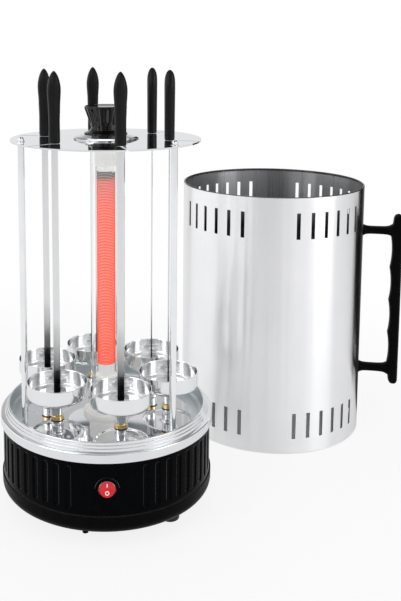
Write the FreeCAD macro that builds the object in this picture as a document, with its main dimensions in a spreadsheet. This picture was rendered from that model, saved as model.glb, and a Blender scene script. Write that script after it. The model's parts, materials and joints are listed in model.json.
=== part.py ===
import FreeCAD, Part
import Sketcher
import math
import os
import re
from FreeCAD import Placement, Rotation, Vector

# An electric skewer grill: a round motor base, a glass heater tube up its middle, six geared spindles
# that turn the skewers round it, and a slotted steel cover that stands beside it.
# Millimetres and degrees, +Z up, the floor at zero, the grill's axis at the origin, the switch to -Y.

SIZES = {
    # counts
    "stations": 6,
    "rod_count": 3,
    # where things stand round the axis, anticlockwise from +X
    "first_station": -18,
    "first_rod": 78,
    "inlet_angle": 90,
    # general fits
    "running_fit": 0.08,
    "seat_gap": 0.3,
    "easy_fit": 0.1,
    "close_fit": 0.05,
    # feet and base pan
    "foot_height": 13,
    "foot_radius": 9,
    "foot_taper": 1.2,
    "foot_inset": 9,
    "foot_recess_radius": 3.6,
    "foot_recess_depth": 4,
    "pan_overhang": 1.6,
    "pan_height": 18.5,
    "pan_wall": 2.5,
    "pan_corner": 10,
    "vent_count": 12,
    "vent_width": 4,
    "vent_length": 22,
    "vent_circle": 58,
    "pillar_height": 46.5,
    "pillar_radius": 5,
    # housing
    "housing_radius": 107.4,
    "housing_wall": 2.5,
    "housing_depth": 53.5,
    "ledge_width": 10.5,
    "ledge_thickness": 2.5,
    "collar_height": 7.4,
    "boss_inset": 5.4,
    "boss_radius": 5.6,
    "flute_count": 49,
    "flute_pitch": 6.667,
    "flute_width": 6.4,
    "flute_length": 43,
    "flute_depth": 1.2,
    "flute_middle": 58,
    # screws
    "screw_radius": 1.5,
    "screw_length": 16,
    "screw_head_radius": 2.9,
    "screw_head_height": 2.2,
    # trim ring
    "ring_overhang": 2.6,
    "ring_skirt": 2.2,
    "ring_ledge": 1.9,
    "ring_seat_width": 4.6,
    "ring_rise": 7.9,
    "ring_edge": 1.3,
    "ring_tread": 1,
    "ring_slope": 0.3,
    "ring_width": 9.6,
    # drip plate
    "plate_margin": 2.9,
    "plate_floor": 2,
    "plate_wall": 1.2,
    "plate_depth": 13,
    "plate_corner": 3,
    "well_margin": 7.3,
    "well_depth": 1.2,
    "wire_hole_radius": 5.5,
    # gears
    "gear_module": 2,
    "sun_teeth": 48,
    "planet_teeth": 18,
    "pinion_teeth": 10,
    "gear_backlash": 0.3,
    "gear_thickness": 6,
    "sun_hub_radius": 14,
    "sun_window_radius": 8,
    # gear deck and motor
    "deck_margin": 11.9,
    "deck_thickness": 3,
    "deck_boss_height": 1.7,
    "deck_boss_radius": 6,
    "post_radius": 9,
    "motor_radius": 25,
    "motor_height": 22,
    "motor_turn": 60,
    "motor_ear_reach": 29,
    "motor_ear_width": 12,
    "motor_ear_thickness": 2,
    "motor_neck_radius": 6,
    "motor_shaft_radius": 3,
    # spindles
    "journal_radius": 2,
    "journal_tail": 1.5,
    "square_side": 4.2,
    "shaft_radius": 3,
    "sleeve_radius": 6.5,
    "sleeve_bore": 4.5,
    "sleeve_height": 13.2,
    "sleeve_spigot": 2.2,
    "sleeve_spigot_wall": 0.5,
    "bush_head_radius": 7.1,
    "bush_head_height": 6,
    "bush_plug_height": 7,
    "socket_radius": 5.75,
    "socket_height": 16.7,
    "nose_radius": 4.5,
    "nose_height": 5.2,
    "blade_grip": 13.5,
    # drip cups
    "cup_radius": 30,
    "cup_wall": 1,
    "cup_height": 17,
    "cup_corner": 4,
    "hub_radius": 11,
    "hub_step": 7.4,
    "hub_height": 3,
    "hub_step_height": 1.8,
    # skewers
    "blade_width": 6.6,
    "blade_thickness": 1.2,
    "blade_point": 7,
    "tang_length": 44,
    "grip_length": 69,
    # rods and disc
    "rod_radius": 3.5,
    "rod_inset": 15,
    "rod_length": 287,
    "stud_radius": 1.5,
    "nut_radius": 3.2,
    "nut_height": 2.4,
    "cap_nut_radius": 3.2,
    "cap_nut_height": 2.4,
    "cap_nut_dome": 2.8,
    "disc_overhang": 9,
    "disc_thickness": 1.5,
    "keyhole_radius": 4,
    "keyhole_slot": 3,
    # knob
    "rosette_radius": 33.5,
    "rosette_rise": 4.6,
    "knob_foot_radius": 22,
    "knob_waist_radius": 14.6,
    "knob_top_radius": 21.5,
    "knob_foot_height": 4.4,
    "knob_waist_height": 3,
    "knob_flare_height": 18.4,
    "knob_rim_height": 2.6,
    "knob_dish": 1.4,
    "knob_flutes": 10,
    "knob_flute_radius": 5,
    "knob_flute_bite": 1,
    "knob_stud_radius": 3,
    "knob_stud_length": 12,
    # heater
    "glass_radius": 15,
    "glass_wall": 1.2,
    "socket_base_radius": 24,
    "socket_base_height": 4,
    "socket_body_radius": 18,
    "socket_body_height": 25,
    "glass_seat_depth": 13,
    "spigot_radius": 11.6,
    "spigot_height": 16,
    "cap_flange_radius": 18,
    "cap_flange_height": 10,
    "core_radius": 9,
    "coil_radius": 10.5,
    "coil_slack": 0.2,
    "coil_margin": 12,
    # switch
    "switch_height": 59,
    "bezel_radius": 11.5,
    "bezel_thickness": 2.2,
    "bezel_flat": 0.7,
    "barrel_radius": 10,
    "barrel_length": 12,
    "switch_well_radius": 8.4,
    "switch_well_depth": 11,
    "rocker_radius": 7.4,
    "rocker_depth": 6.2,
    "rocker_proud": 2.6,
    "rocker_valley": 1.1,
    "rocker_tilt": 8,
    "trunnion_radius": 1.2,
    "trunnion_inset": 0.5,
    "terminal_pitch": 5,
    "terminal_width": 4.8,
    "terminal_thickness": 0.8,
    "terminal_length": 7,
    # terminal block and inlet
    "block_length": 34,
    "block_width": 16,
    "block_height": 12,
    "block_place": 50,
    "inlet_height": 45,
    "inlet_flange_radius": 8,
    "inlet_flange_thickness": 2,
    "inlet_radius": 5.5,
    "inlet_length": 14,
    "inlet_bore": 3.4,
    # cover
    "cover_x": 206,
    "cover_y": 182,
    "cover_turn": -12,
    "cover_radius": 109.5,
    "cover_height": 300,
    "cover_wall": 1,
    "hem_width": 1,
    "hem_height": 3,
    "slot_width": 4.4,
    "slot_length": 30,
    "slot_margin": 18,
    "slot_first": 16.5,
    "slot_pitch": 9,
    "slot_count": 6,
    # cover handle
    "grip_low": 51,
    "grip_high": 265,
    "grip_reach": 34,
    "grip_thickness": 13,
    "grip_width": 17,
    "arm_thickness": 10,
    "arm_inset": 20,
    "handle_screw_radius": 1.8,
    "handle_screw_head": 4,
    "handle_head_height": 2.2,
    "handle_screw_length": 14,
}

# levels and places that follow from the sizes
DERIVED = {
    "pan_bottom": "foot_height",
    "pan_floor_top": "foot_height + pan_wall",
    "pan_top": "foot_height + pan_height",
    "ledge_top": "pan_top + housing_depth",
    "ledge_bottom": "ledge_top - ledge_thickness",
    "housing_inner": "housing_radius - housing_wall",
    "pan_radius": "housing_radius + pan_overhang",
    "boss_circle": "housing_inner - boss_inset",
    "ring_radius": "housing_radius + ring_overhang",
    "ring_seat_radius": "ring_radius - ring_seat_width",
    "ring_lip_radius": "ring_radius - ring_width",
    "plate_radius": "housing_inner - plate_margin",
    "plate_flat": "plate_radius - plate_wall - plate_corner",
    "deck_radius": "housing_inner - deck_margin",
    "foot_circle": "deck_radius - foot_inset",
    "rod_circle": "plate_radius - rod_inset",
    "disc_radius": "rod_circle + disc_overhang",
    "collar_top": "ledge_top + collar_height",
    "ring_seat_top": "collar_top + ring_ledge",
    "ring_top": "ring_seat_top + ring_rise",
    "plate_top": "ledge_top + plate_floor",
    "plate_rim": "plate_top + plate_depth",
    "well_floor": "plate_top - well_depth",
    "deck_bottom": "pan_floor_top + pillar_height",
    "deck_top": "deck_bottom + deck_thickness",
    "gear_bottom": "deck_top + deck_boss_height + seat_gap",
    "gear_top": "gear_bottom + gear_thickness",
    "station_circle": "gear_module * (sun_teeth + planet_teeth) / 2",
    "well_radius": "plate_flat - station_circle - well_margin",
    "pinion_circle": "gear_module * (sun_teeth + pinion_teeth) / 2",
    "pinion_angle": "first_station + 180 / stations",
    "sleeve_top": "well_floor + sleeve_height",
    "bush_top": "sleeve_top + bush_head_height",
    "cup_bottom": "bush_top + seat_gap + socket_height",
    "nose_top": "cup_bottom + nose_height",
    "blade_low": "nose_top - nose_height - blade_grip",
    "disc_bottom": "plate_top + rod_length",
    "disc_top": "disc_bottom + disc_thickness",
    "grip_bottom": "disc_top + seat_gap",
    "socket_top": "plate_top + socket_body_height",
    "glass_bottom": "socket_top - glass_seat_depth",
    "glass_top": "disc_bottom - cap_flange_height - seat_gap",
    "spigot_top": "socket_top + spigot_height",
    "core_top": "glass_top - spigot_height - seat_gap",
    "flute_start": "(360 - (flute_count - 1) * flute_pitch) / 2",
    "bezel_back": "housing_radius - bezel_flat",
    "cover_inner": "cover_radius - cover_wall",
    "arm_low": "grip_low + arm_inset",
    "arm_high": "grip_high - arm_inset",
}

# how far each skewer's flat side is turned from facing the front
BLADE_TURNS = (90, 90, 0, 0, 0, 0)

# the grip of a skewer: share of its length, half width, half thickness
GRIP_SECTIONS = (
    (0.0, 5.4, 4.8),
    (0.05, 5.7, 5.1),
    (0.5, 5.5, 5.0),
    (0.74, 6.5, 5.6),
    (0.85, 5.9, 5.1),
    (0.93, 4.2, 3.7),
    (1.0, 1.1, 1.0),
)

FLAT, SIDE = "XY_Plane", "XZ_Plane"

document = FreeCAD.newDocument("SkewerGrill")
sheet = document.addObject("Spreadsheet::Sheet", "Sizes")
for row, (name, size) in enumerate(SIZES.items(), start=1):
    sheet.set(f"A{row}", name)
    sheet.set(f"B{row}", str(size))
    sheet.setAlias(f"B{row}", name)
document.recompute()
sub_parts = []


def bound(text):
    """The expression with each derived name written out and each size pointing at its cell."""

    def written(word):
        if word[0] in DERIVED:
            return f"({bound(DERIVED[word[0]])})"
        return f"Sizes.{word[0]}" if word[0] in SIZES else word[0]

    return re.sub(r"[A-Za-z_]\w*", written, str(text))


def value(text):
    return float(sheet.evalExpression(bound(text)))


def bind(thing, path, text):
    """Ties a property to the sheet, unless the text is a plain number."""
    if re.search("[a-z]", str(text)):
        thing.setExpression(path, bound(text))


def place(thing, across="0", back="0", up="0", turn="0"):
    """Puts a sub-part at a point, turned about the vertical."""
    spot = Vector(value(across), value(back), value(up))
    thing.Placement = Placement(spot, Rotation(Vector(0, 0, 1), value(turn)))
    bind(thing, "Placement.Base.x", across)
    bind(thing, "Placement.Base.y", back)
    bind(thing, "Placement.Base.z", up)
    if value(turn):
        bind(thing, "Placement.Rotation.Angle", turn)


def new_body(label):
    body = document.addObject("PartDesign::Body", label)
    body.Label = label
    body.AllowCompound = True
    sub_parts.append(body)
    return body


def sketch_on(body, name, plane=SIDE, out="0", turn="0"):
    """A sketch on an origin plane, moved out along its normal. A side sketch faces -Y and may be turned
    anticlockwise round the body's own axis first, so that it faces outwards there."""
    sketch = body.newObject("Sketcher::SketchObject", f"{body.Name}_{name}")
    support = next(f for f in body.Origin.OriginFeatures if f.Role == plane)
    sketch.AttachmentSupport = [(support, "")]
    sketch.MapMode = "FlatFace"
    axis = Vector(0, 0, 1) if plane == FLAT else Vector(0, 1, 0)
    sketch.AttachmentOffset = Placement(Vector(), Rotation(axis, value(turn)))
    if value(turn):
        bind(sketch, "AttachmentOffset.Rotation.Angle", turn)
        bind(sketch, "AttachmentOffset.Base.x", f"({out}) * sin({turn})")
        bind(sketch, "AttachmentOffset.Base.z", f"({out}) * cos({turn})")
    else:
        sketch.AttachmentOffset.Base = Vector(0, 0, value(out))
        bind(sketch, "AttachmentOffset.Base.z", out)
    return sketch


def pin(sketch, kind, texts, *where):
    """A dimension of the sketch, tied to the sheet."""
    index = sketch.addConstraint(Sketcher.Constraint(kind, *where, value(texts)))
    bind(sketch, f"Constraints[{index}]", texts)


def arc_between(start, end, radius):
    """The arc from start to end: anticlockwise for a positive radius, clockwise for a negative one."""
    run = end - start
    aside = math.sqrt(max(radius**2 - run.Length**2 / 4, 0))
    left = Vector(-run.y, run.x, 0).normalize()
    centre = (start + end) * 0.5 + left * math.copysign(aside, radius)
    first, last = (start, end) if radius > 0 else (end, start)
    angles = [math.atan2((p - centre).y, (p - centre).x) for p in (first, last)]
    angles[1] += 2 * math.pi * (angles[1] < angles[0])
    return Part.ArcOfCircle(Part.Circle(centre, Vector(0, 0, 1), abs(radius)), *angles)


def outline(sketch, points):
    """A closed outline through points (across, up). A third entry is the radius of the arc that leads on
    to the next point: positive for an anticlockwise arc, negative for a clockwise one."""
    first = sketch.GeometryCount
    spots = [Vector(value(p[0]), value(p[1]), 0) for p in points]
    ends = []
    for spot, following, point in zip(spots, spots[1:] + spots[:1], points):
        radius = value(point[2]) if len(point) > 2 else 0
        if radius:
            sketch.addGeometry(arc_between(spot, following, radius), False)
        else:
            sketch.addGeometry(Part.LineSegment(spot, following), False)
        ends.append((2, 1) if radius < 0 else (1, 2))
    for step, point in enumerate(points):
        after = (step + 1) % len(points)
        joined = (first + step, ends[step][1], first + after, ends[after][0])
        sketch.addConstraint(Sketcher.Constraint("Coincident", *joined))
        pin(sketch, "DistanceX", point[0], -1, 1, first + step, ends[step][0])
        pin(sketch, "DistanceY", point[1], -1, 1, first + step, ends[step][0])
        if len(point) > 2:
            length = point[2] if value(point[2]) > 0 else f"-({point[2]})"
            pin(sketch, "Radius", length, first + step)
    return sketch


def circle(sketch, radius, across="0", up="0"):
    spot = Vector(value(across), value(up), 0)
    index = sketch.addGeometry(Part.Circle(spot, Vector(0, 0, 1), value(radius)), False)
    pin(sketch, "DistanceX", across, -1, 1, index, 3)
    pin(sketch, "DistanceY", up, -1, 1, index, 3)
    pin(sketch, "Radius", radius, index)
    return sketch


def box_points(left, right, low, high):
    return [(left, low), (right, low), (right, high), (left, high)]


def around(radius, angle):
    """The two coordinates of a point at a distance and an angle from the axis."""
    return f"({radius}) * cos({angle})", f"({radius}) * sin({angle})"


def turned(body, name, points, about="0", cut=False):
    """A turned form, or a turned cut, from half its section. about is where its own axis stands."""
    sketch = outline(sketch_on(body, f"{name}_section"), points)
    axis = "V_Axis"
    if value(about):
        low, high = Vector(value(about), 0, 0), Vector(value(about), 10, 0)
        line = sketch.addGeometry(Part.LineSegment(low, high), True)
        pin(sketch, "DistanceX", about, -1, 1, line, 1)
        pin(sketch, "DistanceX", about, -1, 1, line, 2)
        pin(sketch, "DistanceY", "0", -1, 1, line, 1)
        pin(sketch, "DistanceY", "10", -1, 1, line, 2)
        axis = "Axis0"
    feature = body.newObject("PartDesign::Groove" if cut else "PartDesign::Revolution", name)
    feature.Profile = sketch
    feature.ReferenceAxis = (sketch, [axis])
    feature.Angle = 360
    return feature


def raised(body, name, sketch, length, back=False):
    feature = body.newObject("PartDesign::Pad", name)
    feature.Profile = sketch
    feature.Length = value(length)
    bind(feature, "Length", length)
    feature.Reversed = back
    return feature


def pocketed(body, name, sketch, length, out=True):
    """A cut from the sketch, outwards along its normal unless out is False."""
    feature = body.newObject("PartDesign::Pocket", name)
    feature.Profile = sketch
    feature.Length = value(length)
    bind(feature, "Length", length)
    feature.Reversed = out
    return feature


def round_pattern(body, name, originals, count, span="360"):
    """Copies of features round the body's own axis."""
    pattern = body.newObject("PartDesign::PolarPattern", name)
    pattern.Originals = originals
    axis = next(f for f in body.Origin.OriginFeatures if f.Role == "Z_Axis")
    pattern.Axis = (axis, [""])
    pattern.Angle = value(span)
    bind(pattern, "Angle", span)
    pattern.Occurrences = int(value(count))
    bind(pattern, "Occurrences", count)
    body.Tip = pattern
    return pattern


def solid_part(label, shape):
    """A sub-part whose form comes from Part's own functions."""
    feature = document.addObject("Part::Feature", label)
    feature.Label = label
    feature.Shape = shape
    sub_parts.append(feature)
    return feature


# ---------------------------------------------------------------- base: feet, pan, housing, screws


def make_feet():
    body = new_body("feet")
    foot = turned(
        body,
        "Foot",
        [
            ("foot_circle + foot_recess_radius", "0"),
            ("foot_circle + foot_radius - foot_taper", "0"),
            ("foot_circle + foot_radius", "foot_height"),
            ("foot_circle + screw_radius + easy_fit", "foot_height"),
            ("foot_circle + screw_radius + easy_fit", "foot_recess_depth"),
            ("foot_circle + foot_recess_radius", "foot_recess_depth"),
        ],
        about="foot_circle",
    )
    round_pattern(body, "Feet", [foot], "rod_count")
    place(body, turn="first_rod")


def make_base_pan():
    body = new_body("base_pan")
    turned(
        body,
        "Bowl",
        [
            ("0", "pan_bottom"),
            ("pan_radius - pan_corner", "pan_bottom", "pan_corner"),
            ("pan_radius", "pan_bottom + pan_corner"),
            ("pan_radius", "pan_top"),
            ("pan_radius - pan_wall", "pan_top"),
            ("pan_radius - pan_wall", "pan_bottom + pan_corner", "pan_wall - pan_corner"),
            ("pan_radius - pan_corner", "pan_floor_top"),
            ("0", "pan_floor_top"),
        ],
    )
    pillar = raised(
        body,
        "Pillar",
        circle(sketch_on(body, "PillarRound", FLAT, out="pan_bottom"), "pillar_radius", "foot_circle"),
        "pan_wall + pillar_height",
    )
    round_pattern(body, "Pillars", [pillar], "rod_count")
    bore = sketch_on(body, "PillarBore", FLAT, out="pan_bottom")
    circle(bore, "screw_radius + easy_fit", "foot_circle")
    drilled = pocketed(body, "PillarHole", bore, "pan_wall + pillar_height")
    other = sketch_on(body, "HousingScrew", FLAT, out="pan_bottom")
    circle(other, "screw_radius + easy_fit", "-boss_circle")
    passed = pocketed(body, "HousingHole", other, "pan_corner")
    round_pattern(body, "ScrewHoles", [drilled, passed], "rod_count")
    slit = sketch_on(body, "VentOutline", FLAT, out="pan_bottom")
    ends = [f"vent_circle {sign} vent_length / 2" for sign in "-+"]
    outline(slit, box_points(*ends, "-vent_width / 2", "vent_width / 2"))
    vent = pocketed(body, "Vent", slit, "pan_wall")
    round_pattern(body, "Vents", [vent], "vent_count")
    place(body, turn="first_rod")


def make_housing():
    body = new_body("base_housing")
    turned(
        body,
        "Shell",
        [
            ("housing_inner", "pan_top"),
            ("housing_radius", "pan_top"),
            ("housing_radius", "collar_top"),
            ("housing_inner", "collar_top"),
            ("housing_inner", "ledge_top"),
            ("housing_radius - ledge_width", "ledge_top"),
            ("housing_radius - ledge_width", "ledge_bottom"),
            ("housing_inner", "ledge_bottom"),
        ],
    )
    half_width, half_length = "flute_width / 2", "flute_length / 2"
    low, high = f"flute_middle - {half_length}", f"flute_middle + {half_length}"
    groove = sketch_on(body, "FluteOutline", out="housing_radius - flute_depth", turn="flute_start")
    outline(
        groove,
        [
            ("-flute_width / 5", low),
            ("flute_width / 5", low),
            (half_width, f"{low} + {half_width}"),
            (half_width, f"{high} - {half_width}"),
            ("flute_width / 5", high),
            ("-flute_width / 5", high),
            (f"-{half_width}", f"{high} - {half_width}"),
            (f"-{half_width}", f"{low} + {half_width}"),
        ],
    )
    flute = pocketed(body, "Flute", groove, "flute_depth + 1")
    round_pattern(body, "Flutes", [flute], "flute_count", "(flute_count - 1) * flute_pitch")
    boss_x, boss_y = ("boss_circle * {}(first_rod + 180)".format(f) for f in ("cos", "sin"))
    floor_gap = "pan_bottom + pan_corner + seat_gap"
    round_boss = circle(sketch_on(body, "BossRound", FLAT, out=floor_gap), "boss_radius", boss_x, boss_y)
    boss = raised(body, "Boss", round_boss, f"ledge_top - ({floor_gap})")
    round_pattern(body, "Bosses", [boss], "rod_count")
    pilot = sketch_on(body, "PilotRound", FLAT, out=floor_gap)
    circle(pilot, "screw_radius + easy_fit", boss_x, boss_y)
    hole = pocketed(body, "Pilot", pilot, "screw_length")
    round_pattern(body, "Pilots", [hole], "rod_count")
    spot = sketch_on(body, "BezelSpot", out="bezel_back")
    circle(spot, "bezel_radius + easy_fit", "0", "switch_height")
    pocketed(body, "BezelFlat", spot, "bezel_flat + 1")
    opening = sketch_on(body, "SwitchRound", out="housing_inner - ledge_width")
    circle(opening, "barrel_radius + easy_fit", "0", "switch_height")
    pocketed(body, "SwitchHole", opening, "housing_wall + ledge_width + 1")
    inlet = sketch_on(body, "InletRound", out="housing_inner - ledge_width", turn="inlet_angle + 90")
    circle(inlet, "inlet_radius + easy_fit", "0", "inlet_height")
    pocketed(body, "InletHole", inlet, "housing_wall + ledge_width + 1")


def screw_points(at, head, direction):
    """Half the section of a screw standing at a distance from the axis, its head's top at a level.
    direction is 1 where its tip points up and -1 where it points down."""

    def level(depth):
        return f"{head} + {direction} * ({depth})"

    end = level("screw_head_height + screw_length")
    return [
        (at, level("0")),
        (f"{at} + screw_head_radius", level("0")),
        (f"{at} + screw_head_radius", level("screw_head_height")),
        (f"{at} + screw_radius", level("screw_head_height")),
        (f"{at} + screw_radius", end),
        (at, end),
    ]


def make_screws():
    """Three screws through the feet, three that hold the deck and three that hold the housing."""
    body = new_body("case_screws")
    foot_head = "foot_recess_depth - screw_head_height"
    deck_head = "deck_top + screw_head_height"
    pan_head = "pan_bottom - screw_head_height"
    screws = [
        turned(body, "FootScrew", screw_points("foot_circle", foot_head, 1), "foot_circle"),
        turned(body, "DeckScrew", screw_points("foot_circle", deck_head, -1), "foot_circle"),
        turned(body, "HousingScrew", screw_points("-boss_circle", pan_head, 1), "-boss_circle"),
    ]
    round_pattern(body, "Screws", screws, "rod_count")
    place(body, turn="first_rod")


def make_ring():
    """The bright ring over the housing's collar, stepped up to the lip round the drip plate."""
    body = new_body("trim_ring")
    inside = "plate_radius + seat_gap"
    steps = []
    for step in range(3):
        out = f"ring_seat_radius - {step} * (ring_tread + ring_slope)"
        steps.append((out, f"ring_seat_top + ring_rise * {step} / 3"))
        steps.append((f"{out} - ring_slope", f"ring_seat_top + ring_rise * {step + 1} / 3"))
    turned(
        body,
        "Stepped",
        [
            ("ring_radius - ring_skirt", "ledge_top"),
            ("ring_radius", "ledge_top"),
            ("ring_radius", "ring_seat_top - ring_edge"),
            ("ring_radius - ring_edge", "ring_seat_top"),
            *steps,
            ("ring_lip_radius", "ring_top"),
            ("ring_lip_radius", "plate_rim + seat_gap"),
            (inside, "plate_rim + seat_gap"),
            (inside, "collar_top"),
            ("ring_radius - ring_skirt", "collar_top"),
        ],
    )


def make_plate():
    """The mirror pan under the cups, with a well round each spindle."""
    body = new_body("drip_plate")
    turned(
        body,
        "Pan",
        [
            ("0", "ledge_top"),
            ("plate_radius", "ledge_top"),
            ("plate_radius", "plate_rim"),
            ("plate_radius - plate_wall", "plate_rim"),
            ("plate_radius - plate_wall", "plate_top + plate_corner"),
            ("plate_flat", "plate_top"),
            ("0", "plate_top"),
        ],
    )
    rim = circle(sketch_on(body, "WellRound", FLAT, out="well_floor"), "well_radius", "station_circle")
    well = pocketed(body, "Well", rim, "well_depth")
    hole = sketch_on(body, "SpigotRound", FLAT, out="ledge_top")
    circle(hole, "sleeve_bore + sleeve_spigot_wall + easy_fit", "station_circle")
    spigot = pocketed(body, "SpigotHole", hole, "plate_floor")
    round_pattern(body, "Wells", [well, spigot], "stations")
    rod = sketch_on(body, "RodRound", FLAT, out="ledge_top")
    circle(rod, "stud_radius + easy_fit", *around("rod_circle", "first_rod - first_station"))
    rods = pocketed(body, "RodHole", rod, "plate_floor")
    round_pattern(body, "RodHoles", [rods], "rod_count")
    wires = circle(sketch_on(body, "WireRound", FLAT, out="ledge_top"), "wire_hole_radius")
    pocketed(body, "WireHole", wires, "plate_floor")
    place(body, turn="first_station")


# ---------------------------------------------------------------- gear train


def gear_outline(teeth, module, backlash, first):
    """A closed wire round a spur gear with 20 degree involute teeth, thinned by the backlash, with a
    tooth's middle at the angle first."""
    pitch, pressure = module * teeth / 2, math.radians(20)
    base, tip, root = pitch * math.cos(pressure), pitch + module, pitch - 1.25 * module
    half_tooth = math.pi / (2 * teeth) - backlash / (2 * pitch)

    def half_angle(radius):
        roll = math.acos(min(base / max(radius, base), 1))
        return half_tooth + (math.tan(pressure) - pressure) - (math.tan(roll) - roll)

    flank = [(r, half_angle(r)) for r in (root, pitch - 0.4 * module, pitch + 0.3 * module, tip)]
    corners = []
    for tooth in range(int(teeth)):
        middle = math.radians(first) + 2 * math.pi * tooth / teeth
        for radius, half in [(r, -a) for r, a in flank] + [(r, a) for r, a in reversed(flank)]:
            corners.append(Vector(radius * math.cos(middle + half), radius * math.sin(middle + half), 0))
    return Part.makePolygon(corners + corners[:1])


def mesh_angle(direction, teeth):
    """Where a follower of the sun has a tooth, so that its gap meets the sun's tooth."""
    pitch = 360 / value("sun_teeth")
    behind = (direction - value("first_station")) % pitch
    return direction + 180 + 180 / teeth + behind * value("sun_teeth") / teeth


def gear_blank(teeth, first):
    sizes = value("gear_module"), value("gear_backlash")
    face = Part.Face(gear_outline(teeth, *sizes, first))
    return face.extrude(Vector(0, 0, value("gear_thickness")))


def upright(radius, height, low=0.0, across=0.0, back=0.0):
    return Part.makeCylinder(radius, height, Vector(across, back, low))


def make_sun_gear():
    teeth, thick = value("sun_teeth"), value("gear_thickness")
    wheel = gear_blank(teeth, value("first_station"))
    window_circle = (value("gear_module") * teeth / 2 + value("sun_hub_radius")) / 2
    for step in range(6):
        angle = math.radians(60 * step)
        spot = window_circle * math.cos(angle), window_circle * math.sin(angle)
        wheel = wheel.cut(upright(value("sun_window_radius"), thick, 0, *spot))
    wheel = wheel.cut(upright(value("post_radius + running_fit"), thick))
    place(solid_part("sun_gear", wheel), up="gear_bottom")


def make_drive_gear(number, angle):
    """The small gear of one spindle, with a square hole for the spindle's square."""
    teeth, thick = value("planet_teeth"), value("gear_thickness")
    side = value("square_side + easy_fit")
    square = Part.makeBox(side, side, thick, Vector(-side / 2, -side / 2, 0))
    gear = gear_blank(teeth, mesh_angle(value(angle), teeth)).cut(square)
    place(solid_part(f"drive_gear_{number}", gear), *around("station_circle", angle), up="gear_bottom")


def make_pinion():
    """The motor's pinion, moulded on its output shaft."""
    teeth = value("pinion_teeth")
    tail = value("motor_height / 2 + gear_bottom - deck_bottom")
    shaft = upright(value("motor_shaft_radius"), tail, -tail)
    pinion = gear_blank(teeth, mesh_angle(value("pinion_angle"), teeth)).fuse(shaft)
    place(solid_part("motor_pinion", pinion), *around("pinion_circle", "pinion_angle"), up="gear_bottom")


def make_motor():
    """A flat synchronous motor with two ears, hung under the deck."""
    body = new_body("motor")
    can = circle(sketch_on(body, "CanRound", FLAT, out="deck_bottom"), "motor_radius")
    raised(body, "Can", can, "motor_height", back=True)
    ears = sketch_on(body, "EarOutline", FLAT, out="deck_bottom")
    reach, half = "motor_ear_reach + motor_ear_width / 2", "motor_ear_width / 2"
    outline(ears, box_points(f"-({reach})", reach, f"-{half}", half))
    raised(body, "Ears", ears, "motor_ear_thickness", back=True)
    neck = circle(sketch_on(body, "NeckRound", FLAT, out="deck_bottom"), "motor_neck_radius")
    raised(body, "Neck", neck, "deck_thickness")
    bore = sketch_on(body, "BoreRound", FLAT, out="deck_top")
    circle(bore, "motor_shaft_radius + running_fit")
    pocketed(body, "Bore", bore, "deck_thickness + motor_height / 2 + seat_gap", out=False)
    pins = sketch_on(body, "PinRounds", FLAT, out="deck_bottom")
    for sign in "-+":
        circle(pins, "screw_radius + easy_fit", f"{sign}motor_ear_reach")
    pocketed(body, "PinHoles", pins, "motor_ear_thickness", out=False)
    place(body, *around("pinion_circle", "pinion_angle"), turn="pinion_angle + motor_turn")


def make_deck():
    """The plate that carries the gears: a bearing for each spindle, and a hollow post for the sun gear."""
    body = new_body("gear_deck")
    sheet_round = circle(sketch_on(body, "DeckRound", FLAT, out="deck_bottom"), "deck_radius")
    raised(body, "Sheet", sheet_round, "deck_thickness")
    post = circle(sketch_on(body, "PostRound", FLAT, out="deck_bottom"), "post_radius")
    raised(body, "Post", post, "ledge_top - deck_bottom - seat_gap")
    ring = circle(sketch_on(body, "HubRest", FLAT, out="deck_bottom"), "sun_hub_radius")
    raised(body, "SunRest", ring, "deck_thickness + deck_boss_height")
    rest = circle(sketch_on(body, "RestRound", FLAT, out="deck_top"), "deck_boss_radius", "station_circle")
    rests = raised(body, "Rest", rest, "deck_boss_height")
    round_pattern(body, "Rests", [rests], "stations")
    journal = sketch_on(body, "JournalRound", FLAT, out="deck_bottom")
    circle(journal, "journal_radius + running_fit", "station_circle")
    bearing = pocketed(body, "Bearing", journal, "deck_thickness + deck_boss_height")
    round_pattern(body, "Bearings", [bearing], "stations")
    turn = "pinion_angle - first_station"
    staked = sketch_on(body, "StakedPins", FLAT, out="deck_bottom")
    middle, reach = around("pinion_circle", turn), around("motor_ear_reach", f"{turn} + motor_turn")
    for sign in "-+":
        circle(staked, "screw_radius", *(f"{a} {sign} {b}" for a, b in zip(middle, reach)))
    raised(body, "MotorPins", staked, "motor_ear_thickness + 1", back=True)
    holes = sketch_on(body, "NeckHole", FLAT, out="deck_bottom")
    circle(holes, "motor_neck_radius + easy_fit", *around("pinion_circle", turn))
    pocketed(body, "NeckOpening", holes, "deck_thickness")
    screw = sketch_on(body, "ScrewRound", FLAT, out="deck_bottom")
    circle(screw, "screw_radius + easy_fit", *around("foot_circle", "first_rod - first_station"))
    screw_hole = pocketed(body, "ScrewHole", screw, "deck_thickness")
    round_pattern(body, "ScrewHoles", [screw_hole], "rod_count")
    wires = circle(sketch_on(body, "WireRound", FLAT, out="deck_bottom"), "wire_hole_radius")
    pocketed(body, "WireHole", wires, "ledge_top - deck_bottom")
    place(body, turn="first_station")


# ---------------------------------------------------------------- spindles, cups, skewers


def make_sleeves():
    """The fixed tubes that stand in the wells round the spindles' shafts."""
    body = new_body("spindle_sleeves")
    at = "station_circle"
    tube = turned(
        body,
        "Sleeve",
        [
            (f"{at} + sleeve_bore", "well_floor - sleeve_spigot"),
            (f"{at} + sleeve_bore + sleeve_spigot_wall", "well_floor - sleeve_spigot"),
            (f"{at} + sleeve_bore + sleeve_spigot_wall", "well_floor"),
            (f"{at} + sleeve_radius", "well_floor"),
            (f"{at} + sleeve_radius", "sleeve_top"),
            (f"{at} + sleeve_bore", "sleeve_top"),
        ],
        about=at,
    )
    round_pattern(body, "Sleeves", [tube], "stations")
    place(body, turn="first_station")


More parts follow.
